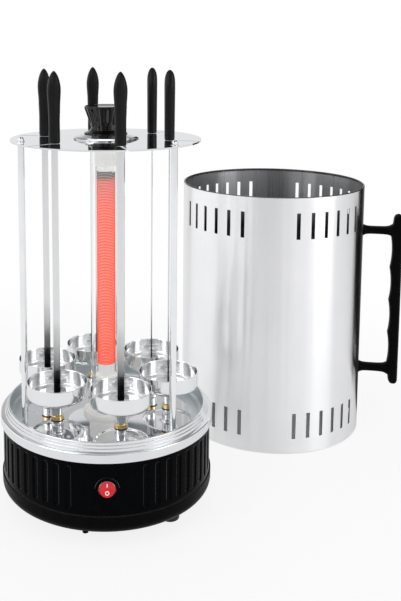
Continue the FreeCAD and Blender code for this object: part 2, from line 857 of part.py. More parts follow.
def make_bushes():
    body = new_body("brass_bushes")
    at = "station_circle"
    bush = turned(
        body,
        "Bush",
        [
            (f"{at} + shaft_radius + running_fit", "sleeve_top - bush_plug_height"),
            (f"{at} + sleeve_bore - close_fit", "sleeve_top - bush_plug_height"),
            (f"{at} + sleeve_bore - close_fit", "sleeve_top"),
            (f"{at} + bush_head_radius", "sleeve_top"),
            (f"{at} + bush_head_radius", "bush_top - 1"),
            (f"{at} + bush_head_radius - 1", "bush_top"),
            (f"{at} + shaft_radius + running_fit", "bush_top"),
        ],
        about=at,
    )
    round_pattern(body, "Bushes", [bush], "stations")
    place(body, turn="first_station")


def make_spindle(number, angle, turn):
    """A spindle: journal, square for its gear, shaft, and the socket that holds the cup and the blade."""
    body = new_body(f"spindle_{number}")
    turned(
        body,
        f"Spindle{number}",
        [
            ("0", "deck_bottom - journal_tail"),
            ("journal_radius", "deck_bottom - journal_tail"),
            ("journal_radius", "gear_top"),
            ("shaft_radius", "gear_top"),
            ("shaft_radius", "bush_top + seat_gap"),
            ("socket_radius", "bush_top + seat_gap"),
            ("socket_radius", "cup_bottom"),
            ("nose_radius", "cup_bottom"),
            ("nose_radius", "nose_top"),
            ("0", "nose_top"),
        ],
    )
    half = "square_side / 2"
    square = outline(
        sketch_on(body, "Square", FLAT, out="gear_bottom"), box_points(f"-{half}", half, f"-{half}", half)
    )
    raised(body, f"Drive{number}", square, "gear_thickness")
    wide, thick = "blade_width / 2 + easy_fit", "blade_thickness / 2 + easy_fit"
    mouth = outline(
        sketch_on(body, "Mouth", FLAT, out="blade_low - seat_gap"),
        box_points(f"-({wide})", wide, f"-({thick})", thick),
    )
    pocketed(body, f"BladeSlot{number}", mouth, "blade_grip + nose_height + seat_gap")
    place(body, *around("station_circle", angle), turn=turn)


def make_cup(number, angle, turn):
    body = new_body(f"drip_cup_{number}")
    low, bore, wall = "cup_bottom", "nose_radius + easy_fit", "cup_wall"
    turned(
        body,
        f"Cup{number}",
        [
            (bore, low),
            ("cup_radius - cup_corner", low),
            ("cup_radius - cup_corner * 0.3", f"{low} + cup_corner * 0.3"),
            ("cup_radius", f"{low} + cup_corner"),
            ("cup_radius", f"{low} + cup_height"),
            (f"cup_radius - {wall}", f"{low} + cup_height"),
            (f"cup_radius - {wall}", f"{low} + cup_corner"),
            ("cup_radius - cup_corner", f"{low} + {wall}"),
            ("hub_radius", f"{low} + {wall}"),
            ("hub_radius - 0.8", f"{low} + hub_height"),
            ("hub_step", f"{low} + hub_height"),
            ("hub_step - 0.4", f"{low} + hub_height + hub_step_height"),
            (bore, f"{low} + hub_height + hub_step_height"),
        ],
    )
    place(body, *around("station_circle", angle), turn=turn)


def make_blade(number, angle, turn):
    body = new_body(f"skewer_blade_{number}")
    half = "blade_width / 2"
    strip = outline(
        sketch_on(body, "Strip", out="-blade_thickness / 2"),
        [
            ("0.8", "blade_low"),
            (half, "blade_low + blade_point"),
            (half, "grip_bottom + tang_length"),
            (f"-{half}", "grip_bottom + tang_length"),
            (f"-{half}", "blade_low + blade_point"),
            ("-0.8", "blade_low"),
        ],
    )
    raised(body, f"Blade{number}", strip, "blade_thickness")
    place(body, *around("station_circle", angle), turn=turn)


def make_grip(number, angle, turn):
    """The moulded grip of a skewer: flat six-sided sections with a ridge down each face."""
    length = value("grip_length")
    sections = []
    for share, wide, thick in GRIP_SECTIONS:
        corners = [
            Vector(x * wide, y * thick, share * length)
            for x, y in ((1, 0.25), (0.5, 0.85), (0, 1), (-0.5, 0.85), (-1, 0.25))
        ]
        corners += [Vector(-p.x, -p.y, p.z) for p in corners]
        sections.append(Part.makePolygon(corners + corners[:1]))
    grip = Part.makeLoft(sections, True, True)
    wide, thick = value("blade_width + 2 * easy_fit"), value("blade_thickness + 2 * easy_fit")
    tang = Part.makeBox(wide, thick, value("tang_length + seat_gap"), Vector(-wide / 2, -thick / 2, 0))
    part = solid_part(f"skewer_handle_{number}", grip.cut(tang))
    place(part, *around("station_circle", angle), up="grip_bottom", turn=turn)


# ---------------------------------------------------------------- rods, disc, knob


def make_rods():
    body = new_body("support_rods")
    at = "rod_circle"
    rod = turned(
        body,
        "Rod",
        [
            (at, "ledge_top - nut_height - 1"),
            (f"{at} + stud_radius", "ledge_top - nut_height - 1"),
            (f"{at} + stud_radius", "plate_top"),
            (f"{at} + rod_radius", "plate_top"),
            (f"{at} + rod_radius", "disc_bottom"),
            (f"{at} + stud_radius", "disc_bottom"),
            (f"{at} + stud_radius", "disc_top + cap_nut_height"),
            (at, "disc_top + cap_nut_height"),
        ],
        about=at,
    )
    round_pattern(body, "Rods", [rod], "rod_count")
    place(body, turn="first_rod")


def hexagon(sketch, radius, across):
    """A hexagon with its corners at the radius."""
    corners = [
        (f"{across} + {radius} * cos({60 * step})", f"{radius} * sin({60 * step})") for step in range(6)
    ]
    return outline(sketch, corners)


def make_base_nuts():
    body = new_body("rod_base_nuts")
    flats = hexagon(sketch_on(body, "NutOutline", FLAT, out="ledge_top"), "nut_radius", "rod_circle")
    nut = raised(body, "Nut", flats, "nut_height", back=True)
    round_pattern(body, "Nuts", [nut], "rod_count")
    bore = circle(sketch_on(body, "NutBore", FLAT, out="ledge_top"), "stud_radius + close_fit", "rod_circle")
    hole = pocketed(body, "NutHole", bore, "nut_height", out=False)
    round_pattern(body, "NutHoles", [hole], "rod_count")
    place(body, turn="first_rod")


def make_cap_nuts():
    body = new_body("rod_cap_nuts")
    flats = hexagon(sketch_on(body, "CapOutline", FLAT, out="disc_top"), "cap_nut_radius", "rod_circle")
    nut = raised(body, "CapNut", flats, "cap_nut_height")
    at, crown = "rod_circle", "disc_top + cap_nut_height"
    dome = turned(
        body,
        "Dome",
        [
            (at, crown),
            (f"{at} + cap_nut_radius - 0.8", crown),
            (f"{at} + cap_nut_radius - 1.6", f"{crown} + cap_nut_dome * 0.65"),
            (f"{at} + 1", f"{crown} + cap_nut_dome"),
            (at, f"{crown} + cap_nut_dome"),
        ],
        about=at,
    )
    round_pattern(body, "CapNuts", [nut, dome], "rod_count")
    bore = circle(sketch_on(body, "CapBore", FLAT, out="disc_top"), "stud_radius + close_fit", "rod_circle")
    hole = pocketed(body, "CapHole", bore, "cap_nut_height + 0.2")
    round_pattern(body, "CapHoles", [hole], "rod_count")
    place(body, turn="first_rod")


def make_disc():
    """The top disc: a keyhole for each skewer, open to the rim, so that the blade can be swung in."""
    body = new_body("top_disc")
    edge = circle(sketch_on(body, "DiscRound", FLAT, out="disc_bottom"), "disc_radius")
    raised(body, "Disc", edge, "disc_thickness")
    keyhole = sketch_on(body, "KeyRound", FLAT, out="disc_bottom")
    circle(keyhole, "keyhole_radius", "station_circle")
    hole = pocketed(body, "Keyhole", keyhole, "disc_thickness")
    mouth = sketch_on(body, "MouthOutline", FLAT, out="disc_bottom")
    half = "keyhole_slot / 2"
    outline(mouth, box_points("station_circle", "disc_radius + 1", f"-{half}", half))
    slot = pocketed(body, "Mouth", mouth, "disc_thickness")
    round_pattern(body, "Keyholes", [hole, slot], "stations")
    rod = sketch_on(body, "RodRound", FLAT, out="disc_bottom")
    circle(rod, "stud_radius + easy_fit", *around("rod_circle", "first_rod - first_station"))
    rods = pocketed(body, "RodHole", rod, "disc_thickness")
    round_pattern(body, "RodHoles", [rods], "rod_count")
    middle = circle(sketch_on(body, "KnobRound", FLAT, out="disc_bottom"), "knob_stud_radius + easy_fit")
    pocketed(body, "KnobHole", middle, "disc_thickness")
    place(body, turn="first_station")


def make_rosette():
    """The domed chrome washer under the knob."""
    body = new_body("knob_rosette")
    bore = "knob_stud_radius + easy_fit"
    turned(
        body,
        "Rosette",
        [
            (bore, "disc_top"),
            ("rosette_radius - 0.6", "disc_top"),
            ("rosette_radius", "disc_top + 1"),
            ("rosette_radius * 0.9", "disc_top + rosette_rise * 0.6"),
            ("rosette_radius * 0.72", "disc_top + rosette_rise"),
            (bore, "disc_top + rosette_rise"),
        ],
    )


def make_knob():
    """The fluted knob, waisted above its foot, with a stud that screws down through the disc."""
    body = new_body("knob")
    foot = "disc_top + rosette_rise"
    waist = f"{foot} + knob_foot_height"
    flare = f"{waist} + knob_waist_height"
    rim = f"{flare} + knob_flare_height"
    top = f"{rim} + knob_rim_height"
    turned(
        body,
        "Knob",
        [
            ("0", foot),
            ("knob_foot_radius", foot),
            ("knob_foot_radius - 0.5", f"{foot} + 0.8"),
            ("knob_waist_radius + 0.8", waist),
            ("knob_waist_radius", flare),
            ("knob_top_radius", rim),
            ("knob_top_radius", f"{top} - 0.6"),
            ("knob_top_radius - 1", top),
            ("knob_top_radius - 2.4", f"{top} - 0.4"),
            ("0", f"{top} - knob_dish"),
        ],
    )
    lean = "knob_top_radius + knob_flute_radius - knob_flute_bite"
    hollow = circle(sketch_on(body, "FluteRound", FLAT, out=flare), "knob_flute_radius", lean)
    scallop = pocketed(body, "Scallop", hollow, "knob_flare_height")
    round_pattern(body, "Scallops", [scallop], "knob_flutes")
    stud = circle(sketch_on(body, "StudRound", FLAT, out=foot), "knob_stud_radius")
    raised(body, "Stud", stud, "rosette_rise + knob_stud_length", back=True)


# ---------------------------------------------------------------- heater


def make_heater_socket():
    """The ceramic holder on the plate: a round groove for the glass and a spigot for the core."""
    body = new_body("heater_socket")
    outer = "glass_radius + seat_gap"
    turned(
        body,
        "Holder",
        [
            ("wire_hole_radius", "plate_top"),
            ("socket_base_radius", "plate_top"),
            ("socket_base_radius", "plate_top + socket_base_height"),
            ("socket_body_radius", "plate_top + socket_base_height"),
            ("socket_body_radius", "socket_top"),
            (outer, "socket_top"),
            (outer, "glass_bottom"),
            ("spigot_radius", "glass_bottom"),
            ("spigot_radius", "spigot_top"),
            ("wire_hole_radius - 2", "spigot_top"),
            ("wire_hole_radius - 2", "plate_top + socket_base_height"),
            ("wire_hole_radius", "plate_top + socket_base_height"),
        ],
    )


def make_heater_glass():
    body = new_body("heater_tube")
    inner = "glass_radius - glass_wall"
    turned(body, "Glass", box_points(inner, "glass_radius", "glass_bottom", "glass_top"))


def make_heater_core():
    body = new_body("heater_core")
    turned(body, "Core", box_points("0", "core_radius", "spigot_top", "core_top"))


def make_heater_coil():
    """The wound heating wire, as the round sleeve that its turns fill."""
    body = new_body("heater_coil")
    inner, ends = "core_radius + coil_slack", ("spigot_top + coil_margin", "core_top - coil_margin")
    turned(body, "Coil", box_points(inner, "coil_radius", *ends))


def make_heater_cap():
    """The ceramic cap at the top of the glass, under the disc. The knob's stud screws into it."""
    body = new_body("heater_top_cap")
    bore = "knob_stud_radius + close_fit"
    deep = "disc_top - knob_stud_length - seat_gap"
    turned(
        body,
        "Cap",
        [
            ("0", "core_top + seat_gap"),
            ("spigot_radius", "core_top + seat_gap"),
            ("spigot_radius", "glass_top + seat_gap"),
            ("cap_flange_radius", "glass_top + seat_gap"),
            ("cap_flange_radius", "disc_bottom - 1"),
            ("cap_flange_radius - 1", "disc_bottom"),
            (bore, "disc_bottom"),
            (bore, deep),
            ("0", deep),
        ],
    )


# ---------------------------------------------------------------- switch, terminal block, inlet


def make_switch_housing():
    body = new_body("switch_housing")
    bezel = circle(sketch_on(body, "BezelRound", out="bezel_back"), "bezel_radius", "0", "switch_height")
    raised(body, "Bezel", bezel, "bezel_thickness")
    barrel = circle(sketch_on(body, "BarrelRound", out="bezel_back"), "barrel_radius", "0", "switch_height")
    raised(body, "Barrel", barrel, "barrel_length", back=True)
    face = sketch_on(body, "WellRound", out="bezel_back + bezel_thickness")
    circle(face, "switch_well_radius", "0", "switch_height")
    pocketed(body, "Well", face, "switch_well_depth", out=False)
    pivots = sketch_on(body, "PivotOutline", out="bezel_back - trunnion_radius - easy_fit")
    half, reach = "trunnion_radius + easy_fit", "barrel_radius - trunnion_inset"
    outline(
        pivots, box_points(f"-({reach})", reach, f"switch_height - ({half})", f"switch_height + ({half})")
    )
    pocketed(body, "PivotSlot", pivots, "2 * (trunnion_radius + easy_fit)")
    blades = sketch_on(body, "TerminalOutlines", out="bezel_back - barrel_length")
    tall, thin = "terminal_width / 2", "terminal_thickness / 2"
    for step in (-1, 0, 1):
        sides = [f"{step} * terminal_pitch {sign} {thin}" for sign in "-+"]
        outline(blades, box_points(*sides, f"switch_height - {tall}", f"switch_height + {tall}"))
    raised(body, "Terminals", blades, "terminal_length", back=True)


def make_rocker():
    """The round rocker, built level on its pivot and tilted so that its top half is pressed in, for ON."""
    radius, depth, proud = value("rocker_radius"), value("rocker_depth"), value("rocker_proud")
    valley = value("rocker_valley")
    side = [
        Vector(0, depth, -radius),
        Vector(0, -proud, -radius),
        Vector(0, valley - proud, 0),
        Vector(0, -proud, radius),
        Vector(0, depth, radius),
    ]
    wedge = Part.Face(Part.makePolygon(side + side[:1])).extrude(Vector(2 * radius, 0, 0))
    wedge.translate(Vector(-radius, 0, 0))
    lens = Part.makeCylinder(radius, depth + proud, Vector(0, -proud, 0), Vector(0, 1, 0))
    reach = value("barrel_radius - trunnion_inset - seat_gap")
    start = Vector(-reach, 0, 0)
    pins = Part.makeCylinder(value("trunnion_radius"), 2 * reach, start, Vector(1, 0, 0))
    part = solid_part("switch_rocker", wedge.common(lens).fuse(pins))
    part.Placement = Placement(
        Vector(0, -value("bezel_back"), value("switch_height")),
        Rotation(Vector(-1, 0, 0), value("rocker_tilt")),
    )
    bind(part, "Placement.Base.y", "-bezel_back")
    bind(part, "Placement.Base.z", "switch_height")
    bind(part, "Placement.Rotation.Angle", "rocker_tilt")


def make_terminal_block():
    """Three-way connector strip on the pan floor, between the inlet and the heater."""
    body = new_body("terminal_block")
    half_long, half_wide = "block_length / 2", "block_width / 2"
    base = sketch_on(body, "BlockOutline", FLAT, out="pan_floor_top")
    outline(base, box_points(f"-{half_long}", half_long, f"-{half_wide}", half_wide))
    raised(body, "Block", base, "block_height")
    wells = sketch_on(body, "ScrewWells", FLAT, out="pan_floor_top + block_height")
    for step in (-1, 0, 1):
        for side in (-1, 1):
            circle(wells, "2.4", f"{step} * block_length * 0.32", f"{side} * block_width * 0.28")
    pocketed(body, "Wells", wells, "block_height / 2", out=False)
    place(body, "0", "block_place")


def make_inlet():
    """The bush in the back wall where the mains lead would pass."""
    body = new_body("inlet_gland")
    turn, back = "inlet_angle + 90", "housing_radius"
    flange = sketch_on(body, "FlangeRound", out=back, turn=turn)
    raised(
        body, "Flange", circle(flange, "inlet_flange_radius", "0", "inlet_height"), "inlet_flange_thickness"
    )
    barrel = sketch_on(body, "BarrelRound", out=back, turn=turn)
    raised(body, "Barrel", circle(barrel, "inlet_radius", "0", "inlet_height"), "inlet_length", back=True)
    bore = sketch_on(body, "BoreRound", out=f"{back} - inlet_length", turn=turn)
    circle(bore, "inlet_bore", "0", "inlet_height")
    pocketed(body, "Bore", bore, "inlet_length + inlet_flange_thickness")


# ---------------------------------------------------------------- cover


def make_cover_shell():
    body = new_body("cover_shell")
    hem, inner = "cover_inner - hem_width", "cover_inner"
    turned(
        body,
        "Shell",
        [
            (hem, "0"),
            ("cover_radius", "0"),
            ("cover_radius", "cover_height"),
            (hem, "cover_height"),
            (hem, "cover_height - hem_height"),
            (inner, "cover_height - hem_height"),
            (inner, "hem_height"),
            (hem, "hem_height"),
        ],
    )
    half = "slot_width / 2"
    rows = (
        ("slot_margin", "slot_margin + slot_length"),
        ("cover_height - slot_margin - slot_length", "cover_height - slot_margin"),
    )
    span = "(slot_count - 1) * slot_pitch"
    for name, first in (("Right", "slot_first"), ("Left", f"360 - slot_first - {span}")):
        for side, turn in (("Front", first), ("Back", f"{first} + 180")):
            slots = sketch_on(body, f"{side}{name}Outline", out="cover_inner - 3", turn=turn)
            for low, high in rows:
                outline(slots, box_points(f"-{half}", half, low, high))
            cut = pocketed(body, f"{side}{name}Slot", slots, "cover_wall + 4")
            round_pattern(body, f"{side}{name}Slots", [cut], "slot_count", span)
    holes = sketch_on(body, "ScrewRounds", out="cover_inner - 3", turn="90")
    for level in ("arm_low", "arm_high"):
        circle(holes, "handle_screw_radius + easy_fit", "0", level)
    pocketed(body, "ScrewHoles", holes, "cover_wall + 4")
    place(body, "cover_x", "cover_y", turn="cover_turn")


def make_cover_handle():
    """The upright grip on two arms, with finger hollows on the side towards the cover."""
    body = new_body("cover_handle")
    start, inner = "cover_radius - 4", "cover_radius + grip_reach"
    outer = f"{inner} + grip_thickness"
    span = "(arm_high - arm_low - arm_thickness)"
    inside = "arm_low + arm_thickness / 2"
    hollow, crown = f"-({span} * 0.3)", "grip_thickness * 0.62"
    side = [
        (start, "arm_low - arm_thickness / 2"),
        (inner, "arm_low - arm_thickness / 2"),
        (f"{inner} + 1", "grip_low + 3"),
        (f"{inner} + 4", "grip_low", crown),
        (outer, f"grip_low + {crown}"),
        (outer, f"grip_high - {crown}", crown),
        (f"{inner} + 4", "grip_high"),
        (f"{inner} + 1", "grip_high - 3"),
        (inner, "arm_high + arm_thickness / 2"),
        (start, "arm_high + arm_thickness / 2"),
        (start, "arm_high - arm_thickness / 2"),
        (inner, "arm_high - arm_thickness / 2", hollow),
        (inner, f"{inside} + {span} * 0.75", hollow),
        (inner, f"{inside} + {span} * 0.5", hollow),
        (inner, f"{inside} + {span} * 0.25", hollow),
        (inner, inside),
        (start, inside),
    ]
    profile = outline(sketch_on(body, "SideView", out="-grip_width / 2"), side)
    raised(body, "Grip", profile, "grip_width")
    shell = circle(sketch_on(body, "ShellRound", FLAT), "cover_radius + easy_fit")
    pocketed(body, "ShellSeat", shell, "cover_height")
    pilots = sketch_on(body, "PilotRounds", out="cover_radius - 3", turn="90")
    for level in ("arm_low", "arm_high"):
        circle(pilots, "handle_screw_radius + close_fit", "0", level)
    pocketed(body, "Pilots", pilots, "handle_screw_length + 4")
    place(body, "cover_x", "cover_y", turn="cover_turn")


def make_handle_screws():
    body = new_body("cover_handle_screws")
    start = "cover_inner - seat_gap - handle_head_height"
    heads = sketch_on(body, "HeadRounds", out=start, turn="90")
    shanks = sketch_on(body, "ShankRounds", out=start, turn="90")
    for level in ("arm_low", "arm_high"):
        circle(heads, "handle_screw_head", "0", level)
        circle(shanks, "handle_screw_radius", "0", level)
    raised(body, "Heads", heads, "handle_head_height")
    raised(body, "Shanks", shanks, "handle_head_height + handle_screw_length")
    place(body, "cover_x", "cover_y", turn="cover_turn")


def main():
    make_feet()
    make_base_pan()
    make_housing()
    make_screws()
    make_ring()
    make_plate()
    make_deck()
    make_motor()
    make_pinion()
    make_sun_gear()
    make_sleeves()
    make_bushes()
    for number, turn in enumerate(BLADE_TURNS, start=1):
        angle = f"first_station + {number - 1} * 360 / stations"
        make_drive_gear(number, angle)
        make_spindle(number, angle, turn)
        make_cup(number, angle, turn)
        make_blade(number, angle, turn)
        make_grip(number, angle, turn)
    make_rods()
    make_base_nuts()
    make_cap_nuts()
    make_disc()
    make_rosette()
    make_knob()
    make_heater_socket()
    make_heater_glass()
    make_heater_core()
    make_heater_coil()
    make_heater_cap()
    make_switch_housing()
    make_rocker()
    make_terminal_block()
    make_inlet()
    make_cover_shell()
    make_cover_handle()
    make_handle_screws()
    document.recompute()

    broken = [o.Label for o in document.Objects if {"Invalid", "Error"} & set(o.State)]
    broken += [p.Label for p in sub_parts if p.Shape.isNull() or not p.Shape.isValid()]
    if broken:
        raise RuntimeError(f"these failed to build: {broken}")
    os.makedirs("parts", exist_ok=True)
    for part in sub_parts:
        part.Shape.exportStep(f"parts/{part.Label}.step")
    print(f"{len(sub_parts)} sub-parts written")


main()
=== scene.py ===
import json
import math

import bpy
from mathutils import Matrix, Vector


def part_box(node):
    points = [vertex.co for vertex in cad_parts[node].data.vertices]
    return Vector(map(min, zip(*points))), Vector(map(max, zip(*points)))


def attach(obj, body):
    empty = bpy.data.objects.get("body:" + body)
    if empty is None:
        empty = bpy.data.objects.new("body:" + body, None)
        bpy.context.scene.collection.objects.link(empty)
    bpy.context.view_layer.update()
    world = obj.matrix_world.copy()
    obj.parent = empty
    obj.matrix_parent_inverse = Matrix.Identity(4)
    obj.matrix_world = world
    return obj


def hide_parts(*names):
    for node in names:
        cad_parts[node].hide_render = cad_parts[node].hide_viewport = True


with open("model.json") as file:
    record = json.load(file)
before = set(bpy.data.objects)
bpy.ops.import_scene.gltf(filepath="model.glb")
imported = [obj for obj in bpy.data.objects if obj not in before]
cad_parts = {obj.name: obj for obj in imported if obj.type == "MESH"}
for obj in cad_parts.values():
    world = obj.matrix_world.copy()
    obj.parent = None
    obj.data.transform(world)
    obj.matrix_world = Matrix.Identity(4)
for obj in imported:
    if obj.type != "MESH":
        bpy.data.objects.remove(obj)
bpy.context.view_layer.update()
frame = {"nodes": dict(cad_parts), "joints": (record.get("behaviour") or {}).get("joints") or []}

MM = 0.001


def levels(node):
    """The lowest and highest level of a CAD node, in millimetres."""
    return [round(corner.z / MM, 1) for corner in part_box(node)]


def middle(node):
    """The middle of a CAD node's box, in millimetres."""
    low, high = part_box(node)
    return [round((a + b) / 2 / MM, 1) for a, b in zip(low, high)]


def radius_of(node):
    """Half the width of a CAD node, in millimetres."""
    low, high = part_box(node)
    return round((high.x - low.x) / 2 / MM, 1)


# ------------------------ sizes and places: millimetres, degrees

FOOT_TOP = levels("feet")[1]
COLLAR_TOP = levels("base_housing")[1]
LEDGE_TOP, RING_TOP = levels("trim_ring")
PLATE_BOTTOM, PLATE_RIM = levels("drip_plate")
PLATE_TOP, SPIGOT_TOP = levels("heater_socket")
WELL_FLOOR = PLATE_TOP - 1.2
SLEEVE_TOP = levels("spindle_sleeves")[1]
BUSH_BOTTOM, BUSH_TOP = levels("brass_bushes")
CUP_BOTTOM, CUP_TOP = levels("drip_cup_1")
BLADE_POINT = levels("skewer_blade_1")[0]
GLASS_BOTTOM, GLASS_TOP = levels("heater_tube")
SOCKET_TOP = PLATE_TOP + 25
CORE_TOP = levels("heater_core")[1]
DISC_BOTTOM, DISC_TOP = levels("top_disc")
ROSETTE_TOP = levels("knob_rosette")[1]
GRIP_LOW, GRIP_TIP = levels("skewer_handle_1")
COVER_TOP = levels("cover_shell")[1]

HOUSING_RADIUS, HOUSING_FOOT = radius_of("base_housing"), 31.5
SWITCH_ANGLE, SWITCH_HEIGHT = -90, middle("switch_housing")[2]
INLET_HEIGHT = middle("inlet_gland")[2]
RING_RADIUS, PLATE_RADIUS = radius_of("trim_ring"), radius_of("drip_plate")
CUP_RADIUS, GLASS_RADIUS = radius_of("drip_cup_1"), radius_of("heater_tube")
STATION_CIRCLE, ROD_CIRCLE, FOOT_CIRCLE = 66, 87, 84
STATIONS = [-18 + 60 * k for k in range(6)]
ROD_ANGLES = [78 + 120 * k for k in range(3)]
BLADE_TURNS = (90, 90, 0, 0, 0, 0)
COVER_PLACE, COVER_TURN = (*middle("cover_shell")[:2], 0), -12
COVER_RADIUS, COVER_WALL, BEAD_WALL, BEAD_HEIGHT = radius_of("cover_shell"), 1, 2, 3
SLOT_ROWS, SLOT_WIDTH, SLOT_FIRST, SLOT_PITCH, SLOT_COUNT = ((18, 48), (252, 282)), 4.4, 16.5, 9, 6


# ------------------------ shapes: (points, faces) in millimetres


def smooth_step(t):
    t = min(max(t, 0), 1)
    return t * t * (3 - 2 * t)


def about(radius, angle):
    """The point at a radius and an angle in degrees."""
    return radius * math.cos(math.radians(angle)), radius * math.sin(math.radians(angle))


def rounded(corners, steps=5):
    """A closed section of points from corners (across, up, fillet radius)."""
    points = []
    count = len(corners)
    for k, corner in enumerate(corners):
        here = Vector(corner[:2])
        fillet = corner[2] if len(corner) > 2 else 0
        back = Vector(corners[k - 1][:2]) - here
        on = Vector(corners[(k + 1) % count][:2]) - here
        if not fillet:
            points.append(tuple(here))
            continue
        u, v = back.normalized(), on.normalized()
        half = u.angle(v) / 2
        reach = min(fillet / math.tan(half), 0.48 * back.length, 0.48 * on.length)
        radius = reach * math.tan(half)
        centre = here + (u + v).normalized() * (radius / math.sin(half))
        start, end = here + u * reach - centre, here + v * reach - centre
        first = math.atan2(start.y, start.x)
        swing = (math.atan2(end.y, end.x) - first + math.pi) % (2 * math.pi) - math.pi
        for step in range(steps + 1):
            angle = first + swing * step / steps
            points.append((centre.x + radius * math.cos(angle), centre.y + radius * math.sin(angle)))
    return points


def spun(section, turns, shift=None):
    """A solid turned round the vertical from a closed half section. shift(angle, r, z) moves r."""
    points, faces, index = [], [], {}
    for i in range(turns):
        angle = 2 * math.pi * i / turns
        for j, (r, z) in enumerate(section):
            if r < 1e-6 and i:
                index[i, j] = index[0, j]
                continue
            reach = r + (shift(angle, r, z) if shift else 0)
            index[i, j] = len(points)
            points.append((reach * math.cos(angle), reach * math.sin(angle), z))
    for i in range(turns):
        for j in range(len(section)):
            after_i, after_j = (i + 1) % turns, (j + 1) % len(section)
            loop = [index[i, j], index[after_i, j], index[after_i, after_j], index[i, after_j]]
            loop = [p for k, p in enumerate(loop) if p != loop[k - 1]]
            if len(set(loop)) > 2:
                faces.append(tuple(dict.fromkeys(loop)))
    return points, faces


def lofted(rings):
    """A skin through rings of as many points each, closed at both ends."""
    size = len(rings[0])
    points = [p for ring in rings for p in ring]
    faces = [tuple(reversed(range(size))), tuple(range(len(points) - size, len(points)))]
    for k in range(len(rings) - 1):
        for j in range(size):
            a, b = k * size + j, k * size + (j + 1) % size
            faces.append((a, b, b + size, a + size))
    return points, faces


def tube(path, radius, sides):
    """A round wire along a path of points."""
    rings = []
    for k, spot in enumerate(path):
        ahead = Vector(path[min(k + 1, len(path) - 1)]) - Vector(path[max(k - 1, 0)])
        side = ahead.cross(Vector((0, 0, 1))).normalized()
        other = ahead.normalized().cross(side)
        ring = []
        for j in range(sides):
            a = 2 * math.pi * j / sides
            ring.append(tuple(Vector(spot) + radius * (math.cos(a) * side + math.sin(a) * other)))
        rings.append(ring)
    return lofted(rings)


def oval(across, up, wide, tall):
    """A ring of points round a rounded oblong."""
    power, sides, ring = 0.75, 28, []
    for j in range(sides):
        a = 2 * math.pi * j / sides
        c, s = math.cos(a), math.sin(a)
        x = math.copysign(abs(c) ** power, c)
        y = math.copysign(abs(s) ** power, s)
        ring.append((across + wide * x, up + tall * y))
    return ring


def moved(shape, across=0.0, back=0.0, up=0.0, turn=0.0):
    """A shape turned round the vertical by degrees, then shifted."""
    c, s = math.cos(math.radians(turn)), math.sin(math.radians(turn))
    return [(x * c - y * s + across, x * s + y * c + back, z + up) for x, y, z in shape[0]], shape[1]


def joined(shapes):
    """One shape out of several."""
    points, faces = [], []
    for shape in shapes:
        start = len(points)
        points += shape[0]
        faces += [tuple(i + start for i in face) for face in shape[1]]
    return points, faces


def add_object(name, data):
    made = bpy.data.objects.new(name, data)
    bpy.context.scene.collection.objects.link(made)
    return made


def piece(name, shape, finish, slot, node=None, body="base", origin=(0, 0, 0), sharp=38):
    """A mesh object from a shape given in its own origin's frame; it may stand for a CAD node."""
    mesh = bpy.data.meshes.new(name)
    mesh.from_pydata([Vector(p) * MM for p in shape[0]], [], shape[1])
    mesh.validate()
    mesh.update()
    mesh.shade_smooth()
    mesh.set_sharp_from_angle(angle=math.radians(sharp))
    mesh.materials.append(finish)
    thing = add_object(name, mesh)
    thing.location = Vector(origin) * MM
    thing.modifiers.new("Evened", "WEIGHTED_NORMAL").keep_sharp = True
    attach(thing, body)
    if node:
        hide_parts(node)
    return thing


# ------------------------ materials

# most of a noise lies between these
NOISE_LOW, NOISE_HIGH = 0.3, 0.7


class Nodes:
    """Short ways to add shader nodes to a tree and join them."""

    def __init__(self, tree):
        self.tree = tree

    def node(self, kind, **settings):
        made = self.tree.nodes.new(kind)
        for key, value in settings.items():
            setattr(made, key, value)
        return made

    def feed(self, socket, value):
        """Joins another node's output to a socket, or gives the socket a plain value."""
        if isinstance(value, bpy.types.NodeSocket):
            self.tree.links.new(value, socket)
        else:
            socket.default_value = value

    def made(self, kind, *values, output=0, **settings):
        """A node's output, with its first sockets fed in turn."""
        node = self.node(kind, **settings)
        for socket, value in zip(node.inputs, values):
            self.feed(socket, value)
        return node.outputs[output]

    def math(self, operation, *values):
        return self.made("ShaderNodeMath", *values, operation=operation)

    def apart(self, vector):
        """The x, y and z of a vector."""
        split = self.node("ShaderNodeSeparateXYZ")
        self.feed(split.inputs[0], vector)
        return split.outputs

    def ranged(self, value, start, end, low=0, high=1, kind="SMOOTHSTEP"):
        """Goes from low to high as value goes from start to end."""
        ranges = self.node("ShaderNodeMapRange", interpolation_type=kind)
        settings = {"Value": value, "From Min": start, "From Max": end, "To Min": low, "To Max": high}
        for name, setting in settings.items():
            self.feed(ranges.inputs[name], setting)
        return ranges.outputs[0]

    def ramp(self, value, stops):
        """A colour ramp through stops of (position, colour), given in rising order."""
        ramp = self.node("ShaderNodeValToRGB")
        elements = ramp.color_ramp.elements
        while len(elements) < len(stops):
            elements.new(0.5)
        for element, (position, colour) in zip(elements, stops):
            element.position, element.color = position, (*colour, 1)
        self.feed(ramp.inputs[0], value)
        return ramp.outputs[0]

    def grey_ramp(self, value, stops):
        """A ramp through stops of (position, brightness)."""
        return self.ramp(value, [(position, [level] * 3) for position, level in stops])


